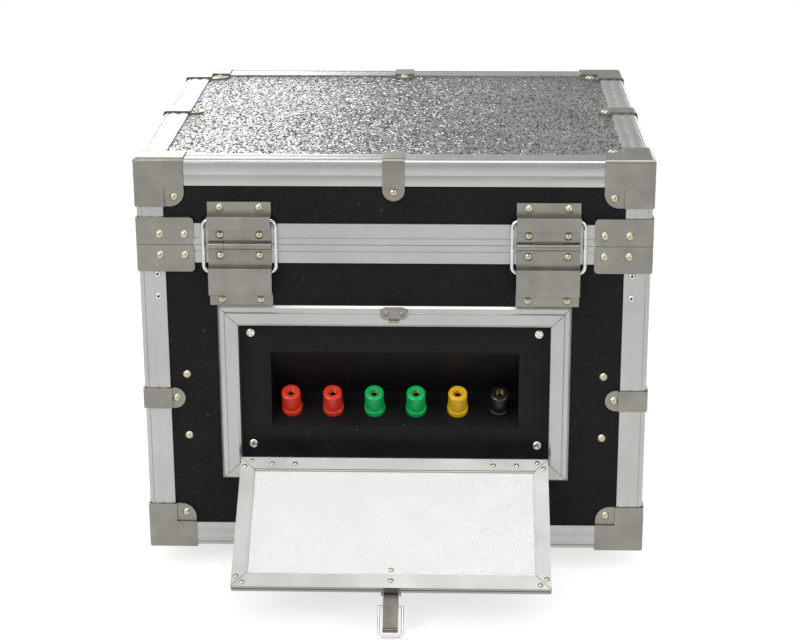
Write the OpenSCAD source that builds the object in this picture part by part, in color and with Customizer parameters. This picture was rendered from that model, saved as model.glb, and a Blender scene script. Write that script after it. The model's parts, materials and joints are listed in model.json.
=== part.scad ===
// High-voltage insulation tester in a lidded transport case, seen from its terminal side.
// Origin: centre of the footprint on the floor. The terminal side faces -Y, +Z is up.
// At rest the lid is shut, the terminal hatch hangs open and every latch is released.

/* [Case] */
// Width over the edge trims
case_w = 477; // [440:1:540]
// Depth over the edge trims
case_d = 397; // [360:1:460]
// Height of the base, from its bottom trims to the split line
base_h = 308.5; // [295:0.5:340]
// Height of the lid, from the split line to its top trims
lid_h = 81.5; // [72:0.5:110]
// Thickness of the laminated panels
wall_t = 6.5; // [5:0.5:9]
// Gap at the split line
split_gap = 0.4; // [0.3:0.1:1]

/* [Edge trims] */
// Width of each leg of the angle trims
trim_leg = 25; // [22:0.5:28]
// Thickness of the angle trims
trim_t = 2; // [1.5:0.1:2.6]
// Radius of the trims' outer edge
trim_r = 4.5; // [3:0.5:5]
// Width of the groove along the rims
flute_w = 1.6; // [1:0.1:2.4]
// Depth of the groove and crown of the ribs along the trims
flute_d = 0.7; // [0.4:0.1:1]
// Height of the closing rim on the base
rim_base_h = 17.5; // [15:0.5:20]
// Height of the closing rim on the lid
rim_lid_h = 20.5; // [16:0.5:21]
// Thickness of the rim's web over the panel edge
rim_web = 2.5; // [2:0.1:4]
// Height of the rim's inner leg
rim_inner_h = 12; // [8:0.5:14]

/* [Steel fittings] */
// Sheet thickness of corners, braces and clips
steel_t = 1.5; // [1.2:0.1:2]
// Length of a corner's legs
corner_leg = 45; // [42:0.5:52]
// Radius of a corner's rivet lobe
lobe_r = 14; // [8:0.5:16]
// Outer edge radius of the corners
corner_r = 4; // [2:0.5:4.5]
// Reach of a split brace from the edge of the case
brace_reach = 53; // [48:1:60]
// Height of a split brace
brace_h = 26; // [24:0.5:30]
// Width of an edge clip
clip_w = 20.5; // [18:0.5:24]
// Reach of an edge clip past the trim
clip_reach = 14; // [13:0.5:18]
// Diameter of the rivet heads
rivet_d = 8; // [6:0.5:9]
// Height of the rivet heads
rivet_h = 2.2; // [1.6:0.1:3]

/* [Feet] */
// Height of the rubber feet
foot_h = 22; // [12:0.5:30]
// Diameter of the rubber feet at the floor
foot_d = 32; // [26:1:40]
// Distance of the feet from the edges of the case
foot_inset = 75; // [60:1:100]

/* [Lid stay hinges] */
// Distance of each hinge's middle from the side of the case
hinge_inset = 95.5; // [90:0.5:125]
// Width of the hinge leaves
leaf_w = 59; // [50:1:64]
// Sheet thickness of the hinge leaves
leaf_t = 1.5; // [1.2:0.1:1.8]
// Distance of the hinge axis from the rim's face
hinge_out = 4; // [3.8:0.1:4.6]
// Outer radius of the hinge knuckles
knuckle_r = 3.4; // [3:0.1:3.5]
// Diameter of the hinge pins
hinge_pin_d = 3.4; // [2.6:0.1:3.8]
// Diameter of the stay wire
wire_d = 3.6; // [3:0.1:4]
// Outer width of the stay wire's loop
wire_w = 71; // [70:0.5:80]
// Distance of the wire's cross runs from the hinge axis
stay_a = 25; // [24:0.5:27]
// How far the wire's bends reach in over the leaves
bend_in = 1.8; // [1.2:0.1:2]

/* [Hatch] */
// Width of the hatch opening
hatch_w = 294; // [270:1:310]
// Height of the hatch opening
hatch_h = 138.5; // [125:0.5:150]
// Distance of the opening's upper edge below the lid's closing line
hatch_drop = 78.5; // [78:0.5:90]
// Width of the hatch frame's bars
frame_w = 19; // [17:0.5:22]
// How far the hatch frame stands out past the edge trims
frame_out = 4; // [3.5:0.1:5]
// Thickness of the frame's lip in the wall opening
lip_t = 2; // [1.5:0.1:3]
// Thickness of the hatch door
door_t = 9.5; // [8.5:0.1:10]
// Width of the door frame's bars
door_bar = 14; // [12:0.5:18]
// Gap between the door and its frame
door_gap = 1.2; // [1:0.1:2]
// Angle of the open door from its shut position
door_open = 125; // [95:1:125]
// Distance of each door hinge from the middle
door_hinge_x = 105; // [80:1:115]

/* [Terminal bay] */
// Width of the slanted recess
recess_w = 236; // [225:1:250]
// Height of the recess mouth
recess_h = 78.5; // [76:0.5:82]
// Depth of the recess
recess_d = 38; // [36:0.5:42]
// Height of the recess mouth above the opening's lower edge
recess_lift = 31.5; // [28:0.5:36]
// Slope of the recess shelf
shelf_angle = 30; // [26:1:32]
// Thickness of the terminal panel
panel_t = 3; // [2:0.1:4]
// Spacing of the binding posts
post_pitch = 40; // [34:0.5:42]
// Distance of the posts from the shelf's front edge
post_back = 21.5; // [18:0.5:26]
// Diameter of the turning caps
cap_d = 18.5; // [16:0.5:20]
// Height of the turning caps
cap_h = 20; // [18:0.5:22]
// Diameter of the posts' insulating bases
post_base_d = 20; // [18:0.5:22]
// Height of the posts' insulating bases
post_base_h = 6; // [4:0.5:6.5]
// Outer diameter of the brass sockets
socket_d = 8; // [7:0.1:9]
// Bore of the brass sockets
socket_bore = 4; // [4:0.1:4.4]

/* [Toggle latches] */
// Width of the latch plates
latch_w = 18; // [16:0.5:24]
// Length of the latch plates
latch_l = 34; // [30:0.5:40]
// Length of the latch levers, from their pivot
lever_l = 38; // [32:0.5:40]
// Diameter of the bail wire
bail_d = 2.4; // [2:0.1:3]
// Distance of the front latches from the middle
front_latch_x = 120; // [90:1:150]

/* [Handles] */
// Width of the side handles between their pivots
handle_w = 110; // [90:1:130]
// Length of the side handles' arms
handle_l = 46; // [40:1:56]
// Diameter of the hand grips
grip_d = 13; // [11:0.5:14]

/* [Operator panel] */
// Depth of the operator panel below the split line
deck_drop = 22; // [20:0.5:40]
// Diameter of the push buttons
button_d = 22; // [18:0.5:28]
// Diameter of the voltage knob
knob_d = 38; // [30:1:46]

/* [Hidden] */
$fn = 48;

// Clearances and overlaps
fit = 0.05;
slack = 0.5;
mitre_gap = 0.3;
eps = 0.01;

// Levels, counted from the floor
z_under = foot_h;
z_split = z_under + base_h;
z_top = z_split + lid_h;
z_floor = z_under + trim_t + wall_t;
skin = trim_t + wall_t;

// Hatch position: its hinge axis lies at the lower edge of the opening, in front of the frame
z_hatch = z_split - hatch_drop - hatch_h;
door_w = hatch_w - 2 * door_gap;
door_l = hatch_h - 2 * door_gap;
door_knuckle_r = 2.9;
door_axis_out = 3.2;
door_leaf_t = 1.2;
door_pin_d = 2.8;
door_axis = [0, -case_d / 2 - frame_out - door_axis_out, z_hatch];

// The footprint is centred between the hatch latch's far end and the front levers
lever_pivot_v = -5;
lever_pivot_w = 6;
lever_pin_r = 1.5;
lever_tip_r = 2.2;
lever_open = 170;
lever_turn = 180 - lever_open;
lever_drop = lever_pin_r + steel_t + 1;
bail_arm = 15;
eye_r = 3;
door_run_v = 10;
bail_v = lever_pivot_v + bail_arm * cos(lever_turn);
bail_w = lever_pivot_w + bail_arm * sin(lever_turn);
run_v = bail_v + door_run_v - lever_pivot_v + bail_arm;
tip_v = lever_pivot_v + lever_l * cos(lever_turn) + lever_drop * sin(lever_turn);
tip_w = lever_pivot_w + lever_l * sin(lever_turn) - lever_drop * cos(lever_turn);
function swung_out(v, w) = (door_l + door_gap + v) * sin(door_open) - (door_axis_out - w) * cos(door_open);
door_reach = frame_out + door_axis_out + max(swung_out(tip_v, tip_w) + lever_tip_r,
    swung_out(run_v, bail_w) + bail_d / 2);
front_reach = max(lever_pivot_w + lever_l * sin(lever_turn) - lever_pin_r * cos(lever_turn), bail_w + eye_r)
    - trim_t;
case_shift = (door_reach - front_reach) / 2;

// Sheet levels of the hinge leaves, outward from the rim's face
channel_in = hinge_out + wire_d / 2 + 1.5;
channel_play = wire_d / 2 + 0.6;
stay_low = stay_a * sqrt(3);
hinge_x = case_w / 2 - hinge_inset;
wire_bend = (wire_w - wire_d - leaf_w) / 2 + bend_in;
stay_slip = 5;

// Terminal posts
shelf_l = recess_d / cos(shelf_angle);
bay_face = -skin;
recess_z = z_hatch + recess_lift;
post_first_x = -2.5 * post_pitch;
cap_colors = ["red", "red", "green", "green", "gold", "#202020"];

// Operator panel
z_deck = z_split - deck_drop;
deck_t = 3;
deck_skirt = 18;
deck_w = case_w - 2 * skin;
deck_d = case_d - 2 * skin;

// Size of the side that faces outward at turn i: rear, right, front, left
function side_half(i) = i % 2 == 0 ? case_d / 2 : case_w / 2;
function side_span(i) = i % 2 == 0 ? case_w : case_d;

// Moves the case so that the footprint's centre is the origin
module at_case() {
    translate([0, case_shift, 0]) children();
}

// Puts x along side i, y upward from height z and z outward from its trims' face
module on_side(i, z) {
    rotate([0, 0, 90 * i]) translate([0, -side_half(i), z]) rotate([90, 0, 0]) children();
}

// Repeats for the four upright edges, drawn for the rear left one
module each_edge() {
    for (mx = [0, 1], my = [0, 1])
        mirror([mx, 0, 0]) mirror([0, my, 0]) children();
}

// Turns the lid's fittings upside down from the base's pattern
module flipped(z) {
    translate([0, 0, z]) mirror([0, 0, 1]) children();
}

// Extrudes a profile along side i: profile x points inward, profile y up
module edge_run(i, len) {
    rotate([0, 0, 90 * i]) translate([-len / 2, -side_half(i), 0]) rotate([90, 0, 90])
        linear_extrude(len) children();
}

// Keeps what lies between the two mitre planes of side i
module mitred(i, depth, z_low, z_high) {
    s = side_span(i) / 2 - mitre_gap;
    h = side_half(i);
    intersection() {
        children();
        translate([0, 0, z_low]) linear_extrude(z_high - z_low) rotate(90 * i)
            polygon([[-s, -h], [s, -h], [s - depth, depth - h], [depth - s, depth - h]]);
    }
}

// Four mitred bars around an opening of w by h: profile x points outward, profile y out of the face
module mitred_ring(w, h, bar, low, high) {
    for (k = [0:3]) {
        hw = (k % 2 == 0 ? w : h) / 2 - mitre_gap;
        hh = (k % 2 == 0 ? h : w) / 2;
        rotate([0, 0, 90 * k]) intersection() {
            translate([-hw - bar, -hh, 0]) mirror([0, 1, 0]) rotate([90, 0, 90])
                linear_extrude(2 * (hw + bar)) children();
            translate([0, 0, low]) linear_extrude(high - low)
                polygon([[-hw, -hh], [hw, -hh], [hw + bar, -hh - bar], [-hw - bar, -hh - bar]]);
        }
    }
}

// Flat plate with rounded corners
module rounded_rect(w, h, r) {
    translate([-w / 2 + r, -h / 2]) square([w - 2 * r, h]);
    translate([-w / 2, -h / 2 + r]) square([w, h - 2 * r]);
    for (sx = [-1, 1], sy = [-1, 1])
        translate([sx * (w / 2 - r), sy * (h / 2 - r)]) circle(r);
}

// Dome head standing on the plane z = 0
module rivet(d = rivet_d, h = rivet_h) {
    ball = (d * d / 4 + h * h) / (2 * h);
    rotate_extrude() intersection() {
        translate([0, h - ball]) circle(ball);
        square([d, h]);
    }
}

// Rod along x, centred
module rod_x(r, len) {
    rotate([0, 90, 0]) cylinder(r = r, h = len, center = true);
}

// Bent sheet along x: a strip of thickness t that follows a path of [y, z] points
module bent_sheet(path, t, w) {
    rotate([90, 0, 90]) translate([0, 0, -w / 2]) linear_extrude(w) {
        for (k = [0:len(path) - 2]) {
            d = path[k + 1] - path[k];
            translate(path[k]) rotate(atan2(d[1], d[0])) translate([0, -t / 2]) square([norm(d), t]);
        }
        for (k = [1:len(path) - 2])
            translate(path[k]) circle(t / 2);
    }
}

// Case panels

module bottom_panel() {
    color("#1c1b1f") at_case()
        translate([-case_w / 2 + trim_t, -case_d / 2 + trim_t, z_under + trim_t])
            cube([case_w - 2 * trim_t, case_d - 2 * trim_t, wall_t]);
}

// Front or rear panel, between the side panels
module end_panel(z_low, z_high) {
    translate([-case_w / 2 + skin, -case_d / 2 + trim_t, z_low])
        cube([case_w - 2 * skin, wall_t, z_high - z_low]);
}

// Left side panel
module side_panel(z_low, z_high) {
    translate([-case_w / 2 + trim_t, -case_d / 2 + trim_t, z_low])
        cube([wall_t, case_d - 2 * trim_t, z_high - z_low]);
}

module front_wall() {
    color("#1c1b1f") at_case() mirror([0, 1, 0]) end_panel(z_floor, z_split - rim_web);
}

module rear_wall() {
    hole_w = hatch_w + 2 * lip_t;
    hole_h = hatch_h + 2 * lip_t;
    color("#1c1b1f") at_case() difference() {
        end_panel(z_floor, z_split - rim_web);
        translate([-hole_w / 2, -case_d / 2, z_hatch - lip_t]) cube([hole_w, skin + 1, hole_h]);
    }
}

module side_walls() {
    color("#1c1b1f") at_case() for (mx = [0, 1])
        mirror([mx, 0, 0]) side_panel(z_floor, z_split - rim_web);
}

module lid_top() {
    color("#232327") at_case()
        translate([-case_w / 2 + trim_t, -case_d / 2 + trim_t, z_top - skin])
            cube([case_w - 2 * trim_t, case_d - 2 * trim_t, wall_t]);
}

module lid_walls() {
    low = z_split + split_gap + rim_web;
    color("#1c1b1f") at_case() for (m = [0, 1]) {
        mirror([0, m, 0]) end_panel(low, z_top - skin);
        mirror([m, 0, 0]) side_panel(low, z_top - skin);
    }
}

// Edge trims and closing rims

// One leg of an angle: a plain land at the edge, then two crowned ribs
module ribbed_leg() {
    rib = (trim_leg - trim_r) / 2;
    r = (rib * rib / 4 + flute_d * flute_d) / (2 * flute_d);
    square([trim_r, trim_t]);
    for (k = [0, 1])
        intersection() {
            translate([trim_r + k * rib - eps, 0]) square([rib + eps, trim_t]);
            translate([trim_r + (k + 0.5) * rib, r]) circle(r);
        }
}

// Ribbed angle with a rounded outer edge
module angle_profile() {
    difference() {
        union() {
            ribbed_leg();
            mirror([1, -1]) ribbed_leg();
        }
        difference() {
            translate([-1, -1]) square(trim_r + 1);
            translate([trim_r, trim_r]) circle(trim_r);
        }
    }
}

// Four bottom or top angles, from the level of their outer faces upward
module level_angles() {
    for (i = [0:3])
        edge_run(i, side_span(i) - 2 * trim_leg) angle_profile();
}

module upright_angles(h) {
    each_edge() translate([-case_w / 2, -case_d / 2, 0]) linear_extrude(h) angle_profile();
}

module base_edge_trims() {
    color("#c8c8c4") at_case() translate([0, 0, z_under]) {
        level_angles();
        translate([0, 0, trim_leg]) upright_angles(base_h - trim_leg - rim_base_h);
    }
}

module lid_edge_trims() {
    color("#c8c8c4") at_case() flipped(z_top) {
        level_angles();
        translate([0, 0, trim_leg]) upright_angles(lid_h - trim_leg - rim_lid_h);
    }
}

// Channel that caps the panel edge, with a groove along its outer face
module rim_profile(h) {
    difference() {
        union() {
            translate([0, -h]) square([trim_t, h]);
            translate([0, -rim_web]) square([skin + trim_t, rim_web]);
            translate([skin, -rim_inner_h]) square([trim_t, rim_inner_h]);
        }
        translate([-eps, -h / 3 - flute_w / 2]) square([flute_d + eps, flute_w]);
    }
}

module rim_ring(h) {
    for (i = [0:3])
        mitred(i, skin + trim_t, -h, 0) edge_run(i, side_span(i)) rim_profile(h);
}

module base_rim() {
    color("#c8c8c4") at_case() translate([0, 0, z_split]) rim_ring(rim_base_h);
}

module lid_rim() {
    color("#c8c8c4") at_case() flipped(z_split + split_gap) rim_ring(rim_lid_h - split_gap);
}

// Steel corners, split braces and edge clips, drawn for an edge with the case on the +x +y side

// Prism along z that rounds the outer edge of a fitting
module edge_envelope(len) {
    side = corner_leg + brace_reach;
    translate([0, 0, -steel_t]) linear_extrude(len) difference() {
        translate([-steel_t, -steel_t]) square(side);
        difference() {
            translate([-steel_t - 1, -steel_t - 1]) square(corner_r + 1);
            translate([corner_r - steel_t, corner_r - steel_t]) circle(corner_r);
        }
    }
}

// One face of a corner: an angle over the trims and a lobe that steps down to the panel
module corner_face() {
    step = trim_leg + steel_t;
    round_at = corner_leg - lobe_r;
    translate([0, 0, -steel_t]) linear_extrude(steel_t) difference() {
        translate([-steel_t, -steel_t]) square(corner_leg + steel_t);
        translate([step, step]) square(corner_leg);
    }
    translate([0, 0, -steel_t]) linear_extrude(steel_t + trim_t) difference() {
        translate([trim_leg, trim_leg]) square(corner_leg - trim_leg);
        translate([step, step]) square(corner_leg);
    }
    translate([0, 0, trim_t - steel_t]) linear_extrude(steel_t) difference() {
        translate([trim_leg, trim_leg]) square(corner_leg - trim_leg);
        difference() {
            translate([round_at, round_at]) square(corner_leg);
            translate([round_at, round_at]) circle(lobe_r);
        }
    }
}

module corner_piece() {
    intersection() {
        for (k = [0:2])
            rotate(a = 120 * k, v = [1, 1, 1]) corner_face();
        edge_envelope(2 * corner_leg);
        rotate(a = 120, v = [1, 1, 1]) edge_envelope(2 * corner_leg);
        rotate(a = 240, v = [1, 1, 1]) edge_envelope(2 * corner_leg);
    }
}

module corner_set() {
    each_edge() translate([-case_w / 2, -case_d / 2, 0]) corner_piece();
}

module base_corners() {
    color("#8f8f86") at_case() translate([0, 0, z_under]) corner_set();
}

module lid_corners() {
    color("#8f8f86") at_case() flipped(z_top) corner_set();
}

// Repeats a fitting's plate on both faces of an edge
module both_faces() {
    children();
    mirror([1, -1, 0]) children();
}

// Angle plate over the rim, reaching down from z = 0, with a bent lip past the rim
module brace(rim_h) {
    start = 2 * corner_r;
    lip_w = brace_reach - trim_leg - 2 * corner_r;
    intersection() {
        both_faces() {
            translate([(brace_reach - start) / 2, 0, -brace_h / 2]) rotate([90, 0, 0])
                linear_extrude(steel_t) rounded_rect(brace_reach + start, brace_h, corner_r);
            translate([trim_leg + corner_r, -steel_t, -brace_h])
                cube([lip_w, steel_t + trim_t, brace_h - rim_h - slack]);
        }
        translate([0, 0, -2 * brace_h]) edge_envelope(3 * brace_h);
    }
}

// Strap around an edge, centred on z = 0, with a round end on the panel
module clip() {
    reach = trim_leg + clip_reach;
    start = 2 * corner_r;
    intersection() {
        both_faces() {
            translate([-start, -steel_t, -clip_w / 2])
                cube([start + trim_leg + steel_t, steel_t, clip_w]);
            translate([trim_leg, -steel_t, -clip_w / 2]) cube([steel_t, steel_t + trim_t, clip_w]);
            translate([0, trim_t, 0]) rotate([90, 0, 0]) linear_extrude(steel_t) {
                translate([trim_leg, -clip_w / 2]) square([clip_reach - clip_w / 2, clip_w]);
                intersection() {
                    translate([reach - clip_w / 2, 0]) circle(clip_w / 2);
                    translate([trim_leg, -clip_w / 2]) square([clip_reach, clip_w]);
                }
            }
        }
        translate([0, 0, -clip_w]) edge_envelope(2 * clip_w);
    }
}

clip_z = 155;

module base_brackets() {
    color("#8f8f86") at_case() {
        each_edge() translate([-case_w / 2, -case_d / 2, z_split]) brace(rim_base_h);
        each_edge() translate([-case_w / 2, -case_d / 2, z_under + clip_z]) clip();
    }
}

module lid_brackets() {
    color("#8f8f86") at_case() {
        flipped(z_split + split_gap) each_edge()
            translate([-case_w / 2, -case_d / 2, 0]) brace(rim_lid_h - split_gap);
        for (i = [0:3])
            flipped(z_top) rotate([0, 0, 90 * i]) translate([0, -side_half(i), 0])
                rotate([90, 0, 90]) clip();
    }
}

// Rivets

lobe_rivet = trim_leg + steel_t + (corner_leg - trim_leg - steel_t) / 2;
clip_rivet = trim_leg + clip_reach - clip_w / 2 + 2;
brace_rivets = [trim_leg - 4, brace_reach - 9];
brace_rivet_drop = 10;
wall_rivets = [116, 178.5];
leaf_rivet_x = 18.3;
leaf_flat_v = 10;
leaf_flange_l = 13;
low_flange_v = -stay_low - channel_play - leaf_t;
high_flange_v = stay_a + channel_play + leaf_t;
panel_seat = steel_t - trim_t;
leaf_seat = leaf_t - trim_t;

// Rivet on side i, x along the side, z above the floor, w outward from the trims' face
module side_rivet(i, x, z, w) {
    on_side(i, z) translate([x, 0, w]) rivet();
}

// Pair of rivets through a hinge leaf
module leaf_rivets(z, w) {
    for (s = [-1, 1], t = [-1, 1])
        side_rivet(0, s * hinge_x + t * leaf_rivet_x, z, w);
}

module base_rivets() {
    color("#a8a49a") at_case() {
        for (i = [0:3], s = [-1, 1]) {
            edge = side_span(i) / 2;
            side_rivet(i, s * (edge - lobe_rivet), z_under + lobe_rivet, panel_seat);
            side_rivet(i, s * (edge - clip_rivet), z_under + clip_z, panel_seat);
            for (b = brace_rivets)
                side_rivet(i, s * (edge - b), z_split - brace_rivet_drop, steel_t);
        }
        for (s = [-1, 1], z = wall_rivets)
            side_rivet(0, s * (case_w / 2 - trim_leg - 2 * rivet_d), z_under + z, -trim_t);
        leaf_rivets(z_split - leaf_flat_v, leaf_t);
        leaf_rivets(z_split + low_flange_v - leaf_flange_l / 2, leaf_seat);
    }
}

module lid_rivets() {
    color("#a8a49a") at_case() {
        for (i = [0:3]) {
            edge = side_span(i) / 2;
            for (s = [-1, 1]) {
                side_rivet(i, s * (edge - lobe_rivet), z_top - lobe_rivet, panel_seat);
                for (b = brace_rivets)
                    side_rivet(i, s * (edge - b), z_split + brace_rivet_drop, steel_t);
            }
            side_rivet(i, 0, z_top - clip_rivet, panel_seat);
            rotate([0, 0, 90 * i]) translate([0, clip_rivet - side_half(i), z_top + panel_seat]) rivet();
        }
        each_edge() translate([lobe_rivet - case_w / 2, lobe_rivet - case_d / 2, z_top + panel_seat])
            rivet();
        leaf_rivets(z_split + leaf_flat_v, leaf_t);
        leaf_rivets(z_split + high_flange_v + leaf_flange_l / 2, leaf_seat);
    }
}

module rubber_feet() {
    color("#26262a") at_case() each_edge()
        translate([foot_inset - case_w / 2, foot_inset - case_d / 2, 0]) {
            cylinder(d1 = foot_d - 4, d2 = foot_d, h = 2);
            translate([0, 0, 2]) cylinder(d1 = foot_d, d2 = foot_d + 4, h = foot_h + trim_t - 2);
        }
}

// Lid stay hinges: x across, y up from the split line, z out from the rim

knuckle_clear = knuckle_r + 0.4;
knuckle_gap = 0.5;
end_knuckle = 15;
mid_knuckle = leaf_w - 2 * (end_knuckle + knuckle_gap);

module each_hinge() {
    for (s = [-1, 1])
        on_side(0, z_split) translate([s * hinge_x, 0, 0]) children();
}

// Barrel of length len at x, with the web that ties it to a leaf on the side of dir
module knuckle(x, len, dir) {
    translate([x, 0, hinge_out]) rod_x(knuckle_r, len);
    translate([x - len / 2, dir < 0 ? -knuckle_clear : 0, 0]) cube([len, knuckle_clear, hinge_out]);
    translate([x - len / 2, dir < 0 ? -knuckle_clear - 2 : knuckle_clear - 1, 0])
        cube([len, 3, leaf_t]);
}

module pin_bore(d, out) {
    translate([0, 0, out]) rod_x(d / 2 + fit, 2 * leaf_w);
}

module hinge_lower_leaves() {
    flat = leaf_t / 2;
    top = channel_in + flat;
    foot = leaf_seat - flat;
    rise = channel_play - stay_a + flat;
    fall = low_flange_v + flat;
    path = [[-knuckle_clear, flat], [rise, flat], [rise, top], [fall, top], [fall, foot],
        [fall - leaf_flange_l, foot]];
    color("#98968c") at_case() each_hinge() difference() {
        union() {
            bent_sheet(path, leaf_t, leaf_w);
            for (s = [-1, 1])
                knuckle(s * (leaf_w - end_knuckle) / 2, end_knuckle, -1);
        }
        pin_bore(hinge_pin_d, hinge_out);
    }
}

module hinge_upper_leaves() {
    flat = leaf_t / 2;
    top = channel_in + flat;
    foot = leaf_seat - flat;
    rise = stay_a - stay_slip - channel_play - flat;
    fall = high_flange_v - flat;
    path = [[knuckle_clear, flat], [rise, flat], [rise, top], [fall, top], [fall, foot],
        [fall + leaf_flange_l, foot]];
    color("#98968c") at_case() each_hinge() difference() {
        union() {
            bent_sheet(path, leaf_t, leaf_w);
            knuckle(0, mid_knuckle, 1);
        }
        pin_bore(hinge_pin_d, hinge_out);
    }
}

module hinge_pins() {
    color("silver") at_case() {
        each_hinge() translate([0, 0, hinge_out]) rod_x(hinge_pin_d / 2, leaf_w);
        each_door_hinge() translate([0, 0, door_axis_out]) rod_x(door_pin_d / 2, door_leaf_w);
    }
}

// Closed wire loop around the split line
module stay_wire(s) {
    r = wire_d / 2;
    half_x = wire_w / 2 - r;
    color("#d8d8d6") at_case() on_side(0, z_split) translate([s * hinge_x, 0, hinge_out]) {
        for (k = [-1, 1]) {
            translate([0, k * stay_a, 0]) rod_x(r, 2 * (half_x - wire_bend));
            translate([k * half_x, 0, 0]) rotate([90, 0, 0])
                cylinder(r = r, h = 2 * (stay_a - wire_bend), center = true);
        }
        for (q = [0:3]) {
            sx = q == 0 || q == 3 ? 1 : -1;
            sy = q < 2 ? 1 : -1;
            translate([sx * (half_x - wire_bend), sy * (stay_a - wire_bend), 0])
                rotate([0, 0, 90 * q]) rotate_extrude(angle = 90) translate([wire_bend, 0]) circle(r);
        }
    }
}

module stay_wire_left() {
    stay_wire(-1);
}

module stay_wire_right() {
    stay_wire(1);
}

// Hatch: x across, y up from the middle of the opening, z out from the trims' face

door_leaf_w = 40;
door_leaf_l = 16;
door_mid_knuckle = 15;
door_end_knuckle = (door_leaf_w - door_mid_knuckle) / 2 - knuckle_gap;
door_clear = door_knuckle_r + 0.4;
door_flange_t = 2;
door_skin_t = 5.5;

module at_hatch() {
    at_case() on_side(0, z_hatch + hatch_h / 2) children();
}

// Swings the door's pieces from shut to the open rest position
module at_door() {
    at_case() translate(door_axis) rotate([door_open, 0, 0]) translate(-door_axis)
        on_side(0, z_hatch + hatch_h / 2) translate([0, 0, frame_out]) children();
}

// Stepped frame bar with a lip that lines the wall opening
module hatch_frame() {
    step = frame_out / 2;
    color("#c8c8c4") at_hatch() mitred_ring(hatch_w, hatch_h, frame_w, -skin, frame_out)
        polygon([[0, -skin], [lip_t, -skin], [lip_t, -trim_t], [frame_w, -trim_t],
            [frame_w, 0], [frame_w - step, step], [frame_w - 3 * step, step],
            [frame_w - 3 * step - 1, frame_out], [step, frame_out], [0, frame_out - 1]]);
}

// Grooved door bar that holds the panel and its liner
module door_bar_profile() {
    difference() {
        translate([0, -door_t]) square([door_bar, door_t]);
        translate([-eps, door_flange_t - door_t])
            square([door_bar / 2 + eps, door_t - 2 * door_flange_t]);
        translate([door_bar - flute_d, -door_t / 2 - flute_w / 2]) square([flute_w, flute_w]);
        translate([-eps, -door_t - eps]) square([flute_w + eps, flute_d + eps]);
    }
}

module door_frame() {
    inner_w = door_w - 2 * door_bar;
    inner_l = door_l - 2 * door_bar;
    color("#c8c8c4") at_door() mitred_ring(inner_w, inner_l, door_bar, -door_t, 0) door_bar_profile();
}

// Sheet that fills the door's groove between two depths
module door_sheet(deep, t) {
    translate([0, 0, -deep]) linear_extrude(t)
        square([door_w - door_bar, door_l - door_bar], center = true);
}

door_groove = door_t - 2 * door_flange_t;

module door_panel() {
    color("#1c1b1f") at_door() door_sheet(door_flange_t + door_groove - 1, door_groove - 1);
}

module door_liner() {
    color("#d5d5d2") at_door() door_sheet(door_flange_t + door_groove, 1);
}

module each_door_hinge() {
    for (s = [-1, 1])
        on_side(0, z_hatch) translate([s * door_hinge_x, 0, frame_out]) children();
}

// Barrel of a door hinge with the web to its leaf
module door_knuckle(x, len, dir) {
    translate([x, 0, door_axis_out]) rod_x(door_knuckle_r, len);
    translate([x - len / 2, dir < 0 ? -door_clear - 1 : 0, 0])
        cube([len, door_clear + 1, door_leaf_t]);
    translate([x - len / 2, dir < 0 ? -door_knuckle_r : door_gap, 0])
        cube([len, dir < 0 ? door_knuckle_r : door_knuckle_r - door_gap, door_axis_out]);
}

module frame_hinge_leaves() {
    color("#98968c") at_case() each_door_hinge() difference() {
        union() {
            translate([-door_leaf_w / 2, -door_leaf_l, 0])
                cube([door_leaf_w, door_leaf_l - door_clear, door_leaf_t]);
            for (s = [-1, 1])
                door_knuckle(s * (door_leaf_w - door_end_knuckle) / 2, door_end_knuckle, -1);
        }
        pin_bore(door_pin_d, door_axis_out);
    }
}

module door_hinge_leaves() {
    color("#98968c") at_case() translate(door_axis) rotate([door_open, 0, 0]) translate(-door_axis)
        each_door_hinge() difference() {
            union() {
                translate([-door_leaf_w / 2, door_clear, 0])
                    cube([door_leaf_w, door_leaf_l - door_clear, door_leaf_t]);
                door_knuckle(0, door_mid_knuckle, 1);
            }
            pin_bore(door_pin_d, door_axis_out);
        }
}

// Rivet heads on the door's inner face: hinge pairs, corner pairs and the latch pair
module door_rivets() {
    head_d = 5;
    head_h = 1.2;
    edge = door_bar / 2;
    hinge_v = edge - door_l / 2;
    spots = concat(
        [for (s = [-1, 1], t = [-1, 1]) [s * door_hinge_x + t * 11, hinge_v]],
        [for (s = [-1, 1], t = [-1, 1], k = [-1, 1])
            [s * (door_w / 2 - edge - 3 * k), t * (door_l / 2 - edge + 3 * k)]],
        [[0, door_l / 2 - edge], [0, door_l / 2 - edge - 12]]);
    color("#a8a49a") at_door() for (k = [0:len(spots) - 1]) {
        on_liner = k == len(spots) - 1;
        translate([spots[k][0], spots[k][1], on_liner ? door_flange_t - door_t : -door_t])
            rotate([180, 0, 0]) rivet(head_d, head_h);
    }
}

// Toggle latches: x across, y towards the keeper from the plate's end, z out of the face

ear_r = 5;
lever_half = latch_w / 2 - steel_t - slack;
bail_leg_x = latch_w / 2 + 0.6 + bail_d / 2;
front_run_v = rim_base_h + slack + split_gap + door_run_v;
keeper_h = 5;
keeper_w = 26;
keeper_l = 12;
keeper_lap = 1.5;
keeper_rivet_x = 7;
bail_bend = 4;
hook_t = 2;
hook_play = 0.4;

// Plate with two ears and the lever's pin
module latch_plate() {
    translate([0, -latch_l / 2, 0]) linear_extrude(steel_t) rounded_rect(latch_w, latch_l, 3);
    for (s = [-1, 1])
        translate([s * (latch_w - steel_t) / 2, lever_pivot_v, 0]) rotate([90, 0, 90])
            linear_extrude(steel_t, center = true) {
                translate([-ear_r, 0]) square([2 * ear_r, lever_pivot_w]);
                translate([0, lever_pivot_w]) circle(ear_r);
            }
    translate([0, lever_pivot_v, lever_pivot_w]) rod_x(lever_pin_r, latch_w);
}

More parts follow.
